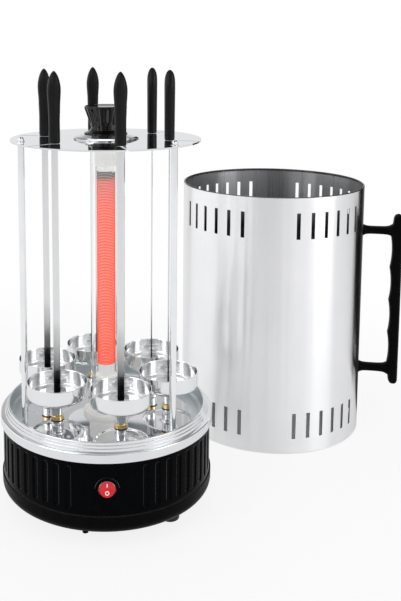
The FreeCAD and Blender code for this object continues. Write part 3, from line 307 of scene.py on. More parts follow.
class Finish(Nodes):
    """A material whose colour, roughness and relief vary through nodes.

    The extra settings are sockets of its shader, with _ for each space.
    """

    def __init__(self, name, colour, metallic, roughness, **extra):
        self.material = bpy.data.materials.new(name)
        self.material.use_nodes = True
        super().__init__(self.material.node_tree)
        self.shader = self.tree.nodes["Principled BSDF"]
        self.colour, self.roughness = colour, roughness
        self.set("Base Color", (*colour, 1))
        self.set("Metallic", metallic)
        self.set("Roughness", roughness)
        for key, value in extra.items():
            self.set(key.replace("_", " "), value)
        self.coords = self.node("ShaderNodeTexCoord").outputs["Object"]

    def set(self, name, value):
        """Feeds a socket of the material's shader."""
        self.feed(self.shader.inputs[name], value)

    def noise(self, scale, stretch=(1, 1, 1), detail=3.0, coords=None):
        mapping = self.node("ShaderNodeMapping")
        self.feed(mapping.inputs["Scale"], stretch)
        self.feed(mapping.inputs["Vector"], coords or self.coords)
        texture = self.node("ShaderNodeTexNoise")
        self.feed(texture.inputs["Scale"], scale)
        self.feed(texture.inputs["Detail"], detail)
        self.feed(texture.inputs["Vector"], mapping.outputs[0])
        return texture.outputs[0]

    def round_coords(self):
        """Coordinates (distance from the piece's axis, a little of x, height)."""
        x, y, z = self.apart(self.coords)
        square = self.math("ADD", self.math("MULTIPLY", x, x), self.math("MULTIPLY", y, y))
        along = self.math("MULTIPLY", self.math("ABSOLUTE", x), 0.02)
        return self.made("ShaderNodeCombineXYZ", self.math("SQRT", square), along, z)

    def uneven_height(self, noise, wander):
        """The height in metres, raised by a noise of up to wander metres."""
        return self.math("ADD", self.apart(self.coords)[2], self.math("MULTIPLY", noise, wander))

    def vary_roughness(self, noise, amount):
        low, high = self.roughness - amount, self.roughness + amount
        self.set("Roughness", self.ranged(noise, NOISE_LOW, NOISE_HIGH, low, high, "LINEAR"))

    def vary_colour(self, value, other, low=NOISE_LOW, high=NOISE_HIGH):
        """Goes from the own colour to the other as value goes from low to high."""
        varied = self.ramp(value, ((low, self.colour), (high, other)))
        self.set("Base Color", varied)
        return varied

    def relief(self, noise, depth, strength):
        bump = self.node("ShaderNodeBump")
        self.feed(bump.inputs["Distance"], depth * MM)
        self.feed(bump.inputs["Strength"], strength)
        self.feed(bump.inputs["Height"], noise)
        self.set("Normal", bump.outputs[0])


def moulded(name, colour, lighter, roughness, shine=0.5, grain=900, depth=0.02, **extra):
    """Moulded plastic, rubber or ceramic: fine grain, slow changes of gloss and faint scuffs."""
    f = Finish(name, colour, 0, roughness, Specular_IOR_Level=shine, **extra)
    f.vary_roughness(f.noise(60), 0.06)
    f.vary_colour(f.noise(140, detail=5), lighter, 0.45, 0.8)
    f.relief(f.noise(grain, detail=2), depth, 0.35)
    return f.material


def spun_metal(name, colour, other, roughness, lines=1800, depth=0.004, vary=0.03):
    """Turned or polished metal: fine rings round the piece's axis and soft hazy patches."""
    f = Finish(name, colour, 1, roughness)
    rings = f.noise(lines, detail=2, coords=f.round_coords())
    f.vary_roughness(f.noise(45), vary)
    f.vary_colour(f.noise(30, detail=4), other)
    f.relief(rings, depth, 0.25)
    return f.material


def drawn_metal(name, colour, other, roughness, along, depth=0.004, vary=0.04, **extra):
    """Sheet or wire metal with fine upright lines."""
    f = Finish(name, colour, 1, roughness, **extra)
    grain = f.noise(400, (1, 1, along))
    f.vary_roughness(grain, vary)
    f.vary_colour(f.noise(25, detail=4), other)
    f.relief(grain, depth, 0.3)
    return f.material


def plate_metal():
    """A mirror that turns satin towards its drawn-up rim."""
    polished, satin, mirror_to, satin_from = 0.045, 0.385, 0.083, 0.092
    f = Finish("plate_mirror", (0.86, 0.87, 0.88), 1, polished)
    across = f.round_coords()
    reach = f.math("ADD", f.apart(across)[0], f.math("MULTIPLY", f.noise(45), 0.002))
    outward = f.ranged(reach, mirror_to, satin_from)
    f.set("Roughness", f.math("MULTIPLY_ADD", outward, satin - polished, polished))
    f.vary_colour(outward, (0.68, 0.73, 0.74), 0, 1)
    f.relief(f.noise(1800, detail=2, coords=across), 0.004, 0.25)
    return f.material


def cover_lining():
    """The unpolished inside of the cover, with painted shade below its upper slots."""
    painted_shade_to, unshaded_from = 0.232, 0.268
    # the dark base colour below the upper slots is painted shade; it fades into the plain lining above them
    f = Finish("cover_inside", (0.07, 0.069, 0.068), 1, 0.3, Anisotropic=0.9, Anisotropic_Rotation=0.25)
    height = f.uneven_height(f.noise(20, detail=4), 0.012)
    f.vary_colour(height, (0.5, 0.505, 0.515), painted_shade_to, unshaded_from)
    grain = f.noise(400, (1, 1, 0.012))
    f.vary_roughness(grain, 0.04)
    f.relief(grain, 0.002, 0.3)
    return f.material


def blade_steel():
    """Satin blade, darker towards its point."""
    dark_to, bright_from = 0.165, 0.225
    f = Finish("blade_steel", (0.022, 0.021, 0.02), 1, 0.2)
    height = f.uneven_height(f.noise(45, (1, 1, 0.3)), 0.05)
    f.vary_colour(height, (0.8, 0.805, 0.81), dark_to, bright_from)
    f.vary_roughness(f.noise(500, (1, 1, 0.02)), 0.06)
    f.relief(f.noise(700, (1, 1, 0.02)), 0.004, 0.3)
    return f.material


def clear_glass():
    f = Finish("clear_glass", (0.995, 1, 1), 0, 0.0, IOR=1.3, Transmission_Weight=1)
    f.relief(f.noise(9, (1, 1, 0.15)), 0.01, 0.2)
    f.vary_colour(f.noise(12), (0.98, 0.99, 0.99))
    return f.material


def heater_wire():
    """The coil: red hot, dull near its top, and dark grey in its cold last turns."""
    low, high = 0.146, 0.348
    f = Finish("glowing_wire", (0.9, 0.12, 0.05), 0, 0.45, Emission_Strength=1, Specular_IOR_Level=0.08)
    height = f.uneven_height(f.noise(38, (1, 1, 0.5), detail=4), 0.012)
    share = f.ranged(height, low, high, kind="LINEAR")
    # share of the height, colour, glow
    tones = (
        (0, (0.85, 0.06, 0.012), (0.42, 0.035, 0.004)),
        (0.8, (0.85, 0.07, 0.02), (0.4, 0.035, 0.006)),
        (0.952, (0.7, 0.13, 0.08), (0.26, 0.03, 0.02)),
        (0.97, (0.28, 0.13, 0.11), (0.03, 0.004, 0.002)),
        (0.985, (0.17, 0.155, 0.15), (0, 0, 0)),
    )
    f.set("Base Color", f.ramp(share, [(stop, body) for stop, body, glow in tones]))
    f.set("Emission Color", f.ramp(share, [(stop, glow) for stop, body, glow in tones]))
    f.vary_roughness(f.noise(90), 0.08)
    f.relief(f.noise(600), 0.03, 0.4)
    return f.material


def red_lens():
    """The rocker's red plastic, lit from behind."""
    f = Finish("red_lens", (0.58, 0.006, 0.014), 0, 0.18, Emission_Strength=0.15)
    f.set("Emission Color", f.vary_colour(f.noise(120), (0.7, 0.014, 0.02)))
    f.relief(f.noise(800), 0.006, 0.3)
    return f.material


def mark_paint():
    """The white of the rocker's marks, faintly lit like the rocker."""
    f = Finish("mark_white", (0.9, 0.9, 0.9), 0, 0.5, Emission_Strength=0.1)
    patches = f.noise(38, (1, 1, 0.5), detail=4)
    f.set("Emission Color", f.vary_colour(patches, (0.82, 0.82, 0.82)))
    f.relief(f.noise(600), 0.03, 0.4)
    return f.material


BLACK = moulded("black_plastic", (0.001, 0.0011, 0.0013), (0.0025, 0.0027, 0.003), 0.34, 0.04)
HOUSING = moulded("housing_plastic", (0.0006, 0.0008, 0.0012), (0.0016, 0.0018, 0.0024), 0.26, 0.03)
GRIP = moulded("grip_plastic", (0.002, 0.0022, 0.0027), (0.005, 0.0053, 0.006), 0.32, 0.2, grain=1300)
GLOSS = moulded("gloss_black", (0.0012, 0.0012, 0.0014), (0.0024, 0.0024, 0.0028), 0.05, 0.35, depth=0.004)
RUBBER = moulded("foot_rubber", (0.01, 0.01, 0.01), (0.02, 0.02, 0.02), 0.65, grain=700, depth=0.05)
NYLON = moulded("nylon", (0.78, 0.77, 0.72), (0.7, 0.69, 0.63), 0.45)
# the ceramic's faint white glow is painted light, which brightens these white parts where they stand in
# shade under the disc
CERAMIC_PAINTED_GLOW = moulded(
    "ceramic", (0.95, 0.945, 0.925), (0.9, 0.89, 0.86), 0.4, grain=500, depth=0.03,
    Emission_Color=(1, 0.97, 0.93, 1), Emission_Strength=0.15,
)
RING = spun_metal("ring_chrome", (0.84, 0.85, 0.86), (0.77, 0.78, 0.79), 0.12, vary=0.02)
DISC = spun_metal(
    "disc_mirror", (0.87, 0.88, 0.89), (0.83, 0.84, 0.85), 0.04, lines=900, depth=0.001, vary=0.015
)
CHROME = spun_metal("chrome", (0.86, 0.87, 0.88), (0.8, 0.81, 0.82), 0.06, vary=0.02)
CUP = spun_metal("cup_aluminium", (0.88, 0.885, 0.89), (0.82, 0.825, 0.83), 0.13, lines=1400, depth=0.006)
ZINC = spun_metal("zinc_steel", (0.55, 0.56, 0.57), (0.45, 0.46, 0.47), 0.3)
BRASS = spun_metal("brass", (0.86, 0.66, 0.34), (0.78, 0.55, 0.24), 0.1)
ROD = drawn_metal("rod_chrome", (0.92, 0.925, 0.93), (0.86, 0.87, 0.88), 0.08, 0.02)
# a dark metal for the cover's top edge: painted shade on the bright steel
PAINTED_SHADE_RIM = drawn_metal("cover_rim_painted_shade", (0.1, 0.1, 0.105), (0.14, 0.14, 0.145), 0.2, 0.02)
SHELL = drawn_metal(
    "cover_steel", (0.97, 0.972, 0.976), (0.94, 0.942, 0.948), 0.3, 0.012, depth=0.0006, vary=0.02,
    Anisotropic=1, Anisotropic_Rotation=0.25,
)
PLATE, LINING, BLADE, GLASS = plate_metal(), cover_lining(), blade_steel(), clear_glass()
WIRE, LENS, MARK = heater_wire(), red_lens(), mark_paint()

# finishes of the CAD nodes that are shown as they are
DRESSED = {
    "base_pan": BLACK,
    "gear_deck": NYLON,
    "motor": ZINC,
    "motor_pinion": NYLON,
    "sun_gear": NYLON,
    "rod_base_nuts": ZINC,
    "terminal_block": BLACK,
    "inlet_gland": RUBBER,
    "switch_housing": HOUSING,
    "switch_rocker": LENS,
    "cover_handle_screws": ZINC,
    "case_screws": BLACK,
    "heater_core": CERAMIC_PAINTED_GLOW,
    "top_disc": DISC,
    **{f"drive_gear_{k}": NYLON for k in range(1, 7)},
    **{f"spindle_{k}": CHROME for k in range(1, 7)},
}
for node, finish in DRESSED.items():
    slots = frame["nodes"][node].data.materials
    slots.clear()
    slots.append(finish)


# ------------------------ base


def make_housing():
    """The moulded wall, with rounded flutes that fade in and out at their ends."""
    radius, wall, ledge_width, ledge_thickness = HOUSING_RADIUS, 2.5, 10.5, 2.5
    flutes, plain_angle, half_width, half_length, middle, depth = 49, 20, 3.2, 21.5, 58, 1.25
    skin, edge_share, barrel_radius, inlet_radius = 0.9, 0.42, 10.4, 6
    sweep = (360 - 2 * plain_angle) / (flutes - 1)
    centres = [math.radians(SWITCH_ANGLE + plain_angle + sweep * k) for k in range(flutes)]

    def flute(angle, r, z):
        run = max(abs(z - middle) - (half_length - half_width), 0)
        if r < radius - skin or run > half_width:
            return 0
        apart = min(abs((angle - c + math.pi) % (2 * math.pi) - math.pi) for c in centres) * radius
        return -depth * smooth_step((1 - math.hypot(apart, run) / half_width) / edge_share)

    inner, ledge = radius - wall, radius - ledge_width
    # close rows where the flutes are
    rows_low, row, rows = 34, 0.9, 54
    heights = [HOUSING_FOOT + 0.5] + [rows_low + row * k for k in range(rows)] + [84, 88, COLLAR_TOP]
    section = [(radius, z) for z in heights] + [
        (inner, COLLAR_TOP), (inner, LEDGE_TOP), (ledge, LEDGE_TOP), (ledge, LEDGE_TOP - ledge_thickness),
        (inner, LEDGE_TOP - ledge_thickness), (inner, HOUSING_FOOT), (radius - 0.4, HOUSING_FOOT),
    ]
    points, faces = spun(section, 1080, flute)

    def kept(face):
        """Leaves out the switch's opening in front and the inlet's behind."""
        x, y, z = (sum(points[i][a] for i in face) / len(face) for a in range(3))
        if math.hypot(x, z - SWITCH_HEIGHT) < barrel_radius and y < 0:
            return False
        return not (math.hypot(x, z - INLET_HEIGHT) < inlet_radius and y > 0)

    faces = [face for face in faces if kept(face)]
    piece("housing_wall", (points, faces), HOUSING, "black_plastic", "base_housing", sharp=50)


def make_base_trim():
    """The rubber feet and the stepped ring."""
    recess = 4
    foot = rounded([
        (0, recess), (3.6, recess, 0.3), (3.6, 0, 0.4), (9.6, 0, 1.2), (10, FOOT_TOP, 0.3), (0, FOOT_TOP),
    ])
    feet = joined(moved(spun(foot, 48), *about(FOOT_CIRCLE, a)) for a in ROD_ANGLES)
    piece("rubber_feet", feet, RUBBER, "rubber", "feet")
    out, seat, step, lip = RING_RADIUS, COLLAR_TOP + 1.9, 2.6, RING_TOP - 1.9
    ring = rounded([
        (out - 2.2, LEDGE_TOP), (out, LEDGE_TOP, 0.4), (out, seat, 1.5), (out - 4.4, seat, 0.25),
        (out - 4.8, seat + step, 0.5), (out - 5.8, seat + step, 0.25),
        (out - 6.1, seat + 2 * step, 0.5), (out - 7.1, seat + 2 * step, 0.25),
        (out - 7.5, RING_TOP, 0.8), (out - 9.6, RING_TOP, 0.7),
        (out - 9.6, lip, 0.2), (out - 7.7, lip), (out - 7.7, COLLAR_TOP), (out - 2.2, COLLAR_TOP),
    ])
    piece("stepped_ring", spun(ring, 256), RING, "chrome_steel", "trim_ring")


def make_plate():
    """The mirror pan, its wells pressed down with rounded edges, and its four small screws."""
    cove_start, cove, wall, skin = 92.6, 8, 1.3, 0.4
    well_flat, well_slope, rings, turns = 23.4, 2.2, 110, 360
    spots = [about(STATION_CIRCLE, a) for a in STATIONS]
    points, faces, index = [], [], {}

    def height(x, y):
        near = min(math.hypot(x - a, y - b) for a, b in spots)
        return WELL_FLOOR + (PLATE_TOP - WELL_FLOOR) * smooth_step((near - well_flat) / well_slope)

    for j in range(rings + 1):
        for i in range(turns if j else 1):
            r, a = j * cove_start / rings, 2 * math.pi * i / turns
            x, y = r * math.cos(a), r * math.sin(a)
            index[i, j] = len(points)
            points.append((x, y, height(x, y)))
    for j in range(rings):
        for i in range(turns):
            k = (i + 1) % turns
            if j:
                faces.append((index[i, j], index[i, j + 1], index[k, j + 1], index[k, j]))
            else:
                faces.append((index[0, 0], index[i, 1], index[k, 1]))
    out, inner, low = PLATE_RADIUS, PLATE_RADIUS - wall, PLATE_BOTTOM
    rim = rounded([
        (cove_start, PLATE_TOP), (inner, PLATE_TOP, cove), (inner, PLATE_RIM, 0.3),
        (out, PLATE_RIM, 0.3), (out, low, 0.3), (cove_start, low),
    ], 12)
    under = spun([(0, low), (cove_start, low), (cove_start, low + skin), (0, low + skin)], 96)
    pan = joined([(points, faces), spun(rim, 256), under])
    piece("mirror_pan", pan, PLATE, "mirror_steel", "drip_plate")
    head = spun(rounded([(0, -0.5), (1.9, -0.5), (1.9, 0.25, 0.2), (1.2, 0.95, 0.9), (0, 1.1)]), 24)
    # a well, and how far to the right of its middle and behind it the screw is
    screws, heads = ((0, -7.9, 0.9), (5, 5.5, 4.2), (5, -25.7, -0.9), (4, 11.7, -10.9)), []
    for well, right, behind in screws:
        x, y = spots[well][0] + right, spots[well][1] + behind
        heads.append(moved(head, x, y, height(x, y)))
    piece("plate_screws", joined(heads), CHROME, "chrome_steel")


# ------------------------ spindles, cups, skewers


def make_spindle_trim():
    """Under each cup: the pan's sleeve, a rubber seal and the brass bush."""
    sleeve = rounded([
        (4.5, WELL_FLOOR), (7.9, WELL_FLOOR, 0.3), (7.1, PLATE_TOP + 0.4, 0.5), (6, PLATE_TOP + 1, 0.3),
        (6, SLEEVE_TOP, 0.4), (4.5, SLEEVE_TOP),
    ])
    bush = rounded([
        (3.08, BUSH_BOTTOM), (4.45, BUSH_BOTTOM), (4.45, SLEEVE_TOP), (5.9, SLEEVE_TOP, 0.3),
        (6.4, SLEEVE_TOP + 0.8, 0.8), (6.4, BUSH_TOP - 0.8, 1.6), (5.2, BUSH_TOP, 0.3), (3.08, BUSH_TOP),
    ])
    low, high = SLEEVE_TOP - 0.4, SLEEVE_TOP + 1.1
    seal = rounded([(5.8, low), (6.6, low, 0.5), (6.6, high, 0.5), (5.8, high)])
    for name, section, finish, slot, node in (
        ("sleeves", sleeve, CHROME, "chrome_steel", "spindle_sleeves"),
        ("bushes", bush, BRASS, "brass", "brass_bushes"),
        ("bush_seals", seal, RUBBER, "rubber", None),
    ):
        shape = joined(moved(spun(section, 40), *about(STATION_CIRCLE, a)) for a in STATIONS)
        piece(name, shape, finish, slot, node)


def make_cup(number, spot):
    """A drip cup with a stepped hub."""
    low, floor, hub, top = CUP_BOTTOM, CUP_BOTTOM + 1, CUP_BOTTOM + 3, CUP_BOTTOM + 4.8
    outer, inner, bore = CUP_RADIUS, CUP_RADIUS - 0.9, 4.6
    corners = [
        (bore, low), (outer, low, 4.4), (outer, CUP_TOP - 0.6, 0.1), (outer + 0.3, CUP_TOP, 0.3),
        (inner + 0.3, CUP_TOP + 0.2, 0.4), (inner, CUP_TOP - 0.6, 0.1), (inner, floor, 3.4),
        (11.2, floor, 0.8), (10.4, hub, 0.4), (9.4, hub, 0.3), (9.2, hub - 0.4, 0.3),
        (8.4, hub - 0.4, 0.3), (8.2, hub, 0.3), (7.4, hub, 0.3), (7, top, 0.4), (bore, top, 0.2),
    ]
    cup = spun(rounded(corners), 128)
    piece(f"cup_{number}", cup, CUP, "cup_aluminium", f"drip_cup_{number}", f"spindle_{number}", (*spot, 0))


# share of the grip's length, half width, half thickness
GRIP_STOPS = ((0, 5.3, 4.9), (0.03, 5.5, 5.1), (0.3, 5.4, 5.2), (0.5, 5.8, 5.3), (0.74, 6.6, 5.4))


def grip_size(share):
    """Half width and half thickness of a grip along its length, rounded off after the last stop."""
    shoulder, wide, thick = GRIP_STOPS[-1]
    if share >= shoulder:
        t = (share - shoulder) / (1 - shoulder)
        return max(wide * (1 - t**1.8) ** 0.63, 0.25), max(thick * (1 - t**3.2) ** 0.55, 0.25)
    low, high = next(pair for pair in zip(GRIP_STOPS, GRIP_STOPS[1:]) if share <= pair[1][0])
    k = smooth_step((share - low[0]) / (high[0] - low[0]))
    return [a + (b - a) * k for a, b in zip(low[1:], high[1:])]


def grip_shape():
    """The grip with a ridge between two shallow grooves down each broad face."""
    sides, length, rings, below, above = 40, GRIP_TIP - GRIP_LOW, [], 26, 22
    edge, edge_share, start, shoulder = 0.5, 0.004, 0.01, GRIP_STOPS[-1][0]
    wide_power, thick_power, groove_place, groove_width, groove_depth = 0.92, 1.08, 0.3, 0.2, 0.1
    shares = [0, edge_share] + [start + (shoulder - start) * k / below for k in range(below + 1)]
    shares += [shoulder + (1 - shoulder) * math.sin(math.pi / 2 * k / above) for k in range(1, above + 1)]
    for share in shares:
        wide, thick = grip_size(share)
        if share == 0:
            wide, thick = wide - edge, thick - edge
        ring = []
        for j in range(sides):
            a = 2 * math.pi * j / sides
            c, s = math.cos(a), math.sin(a)
            x = math.copysign(abs(c) ** wide_power, c)
            y = math.copysign(abs(s) ** thick_power, s)
            grooved = 1 - groove_depth * math.exp(-((abs(x) - groove_place) / groove_width) ** 2)
            ring.append((x * wide, y * thick * grooved, GRIP_LOW + share * length))
        rings.append(ring)
    return lofted(rings)


def blade_shape():
    """The flat blade with chamfered edges and a blunt point."""
    half, thick, edge, point, sections = 3.3, 0.6, 0.27, BLADE_POINT, []
    for z, w in ((point, 0.7), (point + 7, half), (point + 14, half), (DISC_TOP + 1, half)):
        chamfer = min(0.5, w * 0.4)
        upper = [(w, edge), (w - chamfer, thick), (chamfer - w, thick), (-w, edge)]
        sections.append([(x, y, z) for x, y in upper + [(x, -y) for x, y in reversed(upper)]])
    return lofted(sections)


def make_skewer(number, spot, turn):
    body, origin = f"skewer_{number}", (*spot, 0)
    grip, blade = moved(grip_shape(), turn=turn), moved(blade_shape(), turn=turn)
    for name, shape, finish, slot, node, sharp in (
        ("grip", grip, GRIP, "grip_plastic", "skewer_handle", 60),
        ("blade", blade, BLADE, "blade_steel", "skewer_blade", 20),
    ):
        piece(f"{name}_{number}", shape, finish, slot, f"{node}_{number}", body, origin, sharp)


# ------------------------ rods, disc, knob


def make_rods():
    """The three rods and their domed nuts on the disc."""
    radius, stud, stud_top = 3.2, 1.5, DISC_TOP + 2.4
    rod = rounded([
        (0, PLATE_TOP - 5), (stud, PLATE_TOP - 5, 0.3), (stud, PLATE_TOP), (radius, PLATE_TOP, 0.3),
        (radius, DISC_BOTTOM - 0.6, 0.4), (radius - 0.6, DISC_BOTTOM), (stud, DISC_BOTTOM),
        (stud, stud_top), (0, stud_top),
    ])
    rods = joined(moved(spun(rod, 40), *about(ROD_CIRCLE, a)) for a in ROD_ANGLES)
    piece("rods", rods, ROD, "chrome_steel", "support_rods")
    nut_radius, low, nuts = 3.2, DISC_TOP, []
    washer = rounded([(1.6, low), (3.9, low, 0.2), (3.9, low + 0.5, 0.2), (1.6, low + 0.5)])
    crown = rounded([
        (0, low + 2.2), (2.9, low + 2.2, 0.2), (2.7, low + 3.2, 1), (1.4, low + 4.8, 1.2), (0, low + 5.1),
    ])
    hexagon = [about(nut_radius, 60 * k) for k in range(6)]
    chamfers = ((0.5, 0.96), (0.7, 1), (2.1, 1), (2.5, 0.93))
    sides = lofted([[(x * share, y * share, low + up) for x, y in hexagon] for up, share in chamfers])
    for angle in ROD_ANGLES:
        spot = about(ROD_CIRCLE, angle)
        nuts.append(moved(sides, *spot, turn=angle))
        nuts += [moved(spun(section, 32), *spot) for section in (crown, washer)]
    piece("acorn_nuts", joined(nuts), CHROME, "chrome_steel", "rod_cap_nuts")


def make_knob():
    """The domed rosette and the fluted knob, dished on top."""
    bore, low, foot = 3.2, DISC_TOP, ROSETTE_TOP
    dome = rounded([
        (bore, low), (32.9, low, 0.2), (33.5, low + 0.9, 0.5), (31, low + 2.6, 2),
        (24.1, foot, 2), (bore, foot),
    ], 8)
    piece("rosette", spun(dome, 192), CHROME, "chrome_steel", "knob_rosette")
    section = rounded([
        (0, foot), (22, foot, 0.3), (21.7, foot + 1.2, 0.8), (17.5, foot + 2.9, 3),
        (15.4, foot + 4.4, 1.5), (14.6, foot + 6.6, 1.6), (15.4, foot + 9, 3), (21.3, foot + 25.2, 1.5),
        (21.5, foot + 27.6, 1), (20.4, foot + 28.4, 0.6), (18.9, foot + 28, 0.8), (12, foot + 27.2, 6),
        (0, foot + 27),
    ], 6)
    flutes, depth, flute_low, flute_run, top, plain_radius = 10, 1.5, foot + 8.5, 19, 1.02, 13

    def flute(angle, r, z):
        climb = (z - flute_low) / flute_run
        if r < plain_radius or not 0 < climb < top:
            return 0
        fade = smooth_step(climb * 4) * smooth_step((top - climb) * 9)
        return -depth * fade * (0.5 - 0.5 * math.cos(flutes * angle)) ** 1.6

    fine, step, fine_from = [], 1.2, foot + 6
    for k, (r, z) in enumerate(section):
        next_r, next_z = section[(k + 1) % len(section)]
        fluted = z > fine_from and r > plain_radius
        parts = int(math.hypot(next_r - r, next_z - z) / step) if fluted else 0
        shares = [p / (parts + 1) for p in range(parts + 1)]
        fine += [(r + (next_r - r) * share, z + (next_z - z) * share) for share in shares]
    stud = spun([(0, foot - 15), (3, foot - 15), (3, foot + 0.2), (0, foot + 0.2)], 24)
    piece("fluted_knob", joined([spun(fine, 240, flute), stud]), GLOSS, "black_gloss", "knob", sharp=60)


# ------------------------ heater


def make_heater():
    """The ceramic socket and cap, the glass between them, and the coil on its core."""
    wire_bore, spigot, body, glass = 5.5, 11.6, 18, GLASS_RADIUS
    glass_wall, seat_radius = 1.2, glass + 0.3
    core_radius, wire, pitch, reach, steps = 8.4, 0.55, 1.6, 9, 22
    holder = rounded([
        (wire_bore, PLATE_TOP), (24, PLATE_TOP, 0.4), (24, PLATE_TOP + 4, 1.2), (body, PLATE_TOP + 4, 1),
        (body, SOCKET_TOP, 0.8), (seat_radius, SOCKET_TOP, 0.3), (seat_radius, GLASS_BOTTOM),
        (spigot, GLASS_BOTTOM), (spigot, SPIGOT_TOP, 0.8), (3.5, SPIGOT_TOP), (3.5, PLATE_TOP + 4),
        (wire_bore, PLATE_TOP + 4),
    ])
    piece("socket", spun(holder, 96), CERAMIC_PAINTED_GLOW, "white_ceramic", "heater_socket")
    low, seat, bore = CORE_TOP + 0.3, GLASS_TOP + 0.3, 3.05
    cap = rounded([
        (0, low), (spigot, low, 0.8), (spigot, seat), (body, seat, 0.6), (body, DISC_BOTTOM, 1.2),
        (bore, DISC_BOTTOM), (bore, seat - 0.8), (0, seat - 0.8),
    ])
    piece("cap", spun(cap, 96), CERAMIC_PAINTED_GLOW, "white_ceramic", "heater_top_cap")
    wall = rounded([
        (glass - glass_wall, GLASS_BOTTOM, 0.4), (glass, GLASS_BOTTOM, 0.4),
        (glass, GLASS_TOP, 0.4), (glass - glass_wall, GLASS_TOP, 0.4),
    ], 4)
    piece("glass", spun(wall, 128), GLASS, "clear_glass", "heater_tube")
    core = rounded([
        (0, SPIGOT_TOP), (core_radius, SPIGOT_TOP, 0.5), (core_radius, CORE_TOP, 0.5), (0, CORE_TOP),
    ])
    piece("core", spun(core, 64), CERAMIC_PAINTED_GLOW, "white_ceramic", "heater_core")
    low, high = SPIGOT_TOP + 12.6, CORE_TOP - 5.4
    count, path = int((high - low) / pitch * steps), []
    for k in range(count + 1):
        a = 2 * math.pi * k / steps
        path.append((reach * math.cos(a), reach * math.sin(a), low + (high - low) * k / count))
    piece("coil", tube(path, wire, 6), WIRE, "glowing_wire", "heater_coil")


# ------------------------ cover


def sheet_with_slots():
    """The rolled sheet: two skins with the slots cut through and their edges closed."""
    half = math.degrees(SLOT_WIDTH / 2 / COVER_RADIUS)
    side = [SLOT_FIRST + SLOT_PITCH * k for k in range(SLOT_COUNT)]
    slots = sorted((a + turn) % 360 for a in side + [360 - a for a in side] for turn in (-90, 90))
    edges = sorted([a - half for a in slots] + [a + half for a in slots])
    angles = []
    for a, b in zip(edges, edges[1:] + [edges[0] + 360]):
        steps = max(int((b - a) / 1.6), 1)
        angles += [a + (b - a) * k / steps for k in range(steps)]
    (bottom, low), (high, top) = SLOT_ROWS
    heights = [BEAD_HEIGHT, bottom - 8, bottom, bottom + 10, bottom + 20]
    heights += [low + (high - low) * k / 8 for k in range(9)]
    heights += [high + 10, high + 20, top, top + 8, COVER_TOP - BEAD_HEIGHT]
    rows, columns = len(heights), len(angles)

    def cut(i, j):
        after = angles[(i + 1) % columns] + (360 if i + 1 == columns else 0)
        middle, level = (angles[i] + after) / 2 % 360, (heights[j] + heights[j + 1]) / 2
        slotted = any(start < level < end for start, end in SLOT_ROWS)
        return slotted and any(abs((middle - a + 180) % 360 - 180) < half for a in slots)

    skins = (COVER_RADIUS, COVER_RADIUS - COVER_WALL)
    points = [(*about(r, a), z) for r in skins for a in angles for z in heights]
    faces = []

    def corner(skin, i, j):
        return (skin * columns + i % columns) * rows + j

    # the next cell across an edge, and the edge's ends
    neighbours = (
        (-1, 0, ((0, 0), (0, 1))),
        (1, 0, ((1, 1), (1, 0))),
        (0, -1, ((1, 0), (0, 0))),
        (0, 1, ((0, 1), (1, 1))),
    )
    for i in range(columns):
        for j in range(rows - 1):
            if cut(i, j):
                continue
            around = ((i, j), (i + 1, j), (i + 1, j + 1), (i, j + 1))
            faces.append(tuple(corner(0, *spot) for spot in around))
            faces.append(tuple(corner(1, *around[k]) for k in (3, 2, 1, 0)))
            for di, dj, ends in neighbours:
                if 0 <= j + dj < rows - 1 and cut((i + di) % columns, j + dj):
                    a, b = [(i + x, j + y) for x, y in ends]
                    faces.append((corner(0, *a), corner(0, *b), corner(1, *b), corner(1, *a)))
    return points, faces


def make_cover():
    """The slotted sheet with a bead at each end, bright outside, with painted shade inside below its upper
    slots and on its top edge.
    """
    out, bore, top, painted_shade_edge, outside = COVER_RADIUS, COVER_RADIUS - BEAD_WALL, COVER_TOP, 1.7, 0.4
    rim = rounded([
        (bore, top - BEAD_HEIGHT, 0.9), (out, top - BEAD_HEIGHT), (out, top, 0.95), (bore, top, 0.95),
    ], 6)
    foot = rounded([(bore, 0, 0.95), (out, 0, 0.95), (out, BEAD_HEIGHT), (bore, BEAD_HEIGHT, 0.9)], 6)
    shape = moved(joined([sheet_with_slots(), spun(rim, 256), spun(foot, 256)]), turn=COVER_TURN)
    place = dict(body="cover", origin=COVER_PLACE, sharp=60)
    shell = piece("shell", shape, SHELL, "cover_steel", "cover_shell", **place)
    shell.data.materials.append(LINING)
    shell.data.materials.append(PAINTED_SHADE_RIM)
    # the inside gets the lining with its painted shade, and the top edge the dark rim, which is painted
    # shade too
    for face in shell.data.polygons:
        if face.center.z > (top - painted_shade_edge) * MM:
            face.material_index = 2
        elif math.hypot(*face.center[:2]) < (out - outside) * MM:
            face.material_index = 1


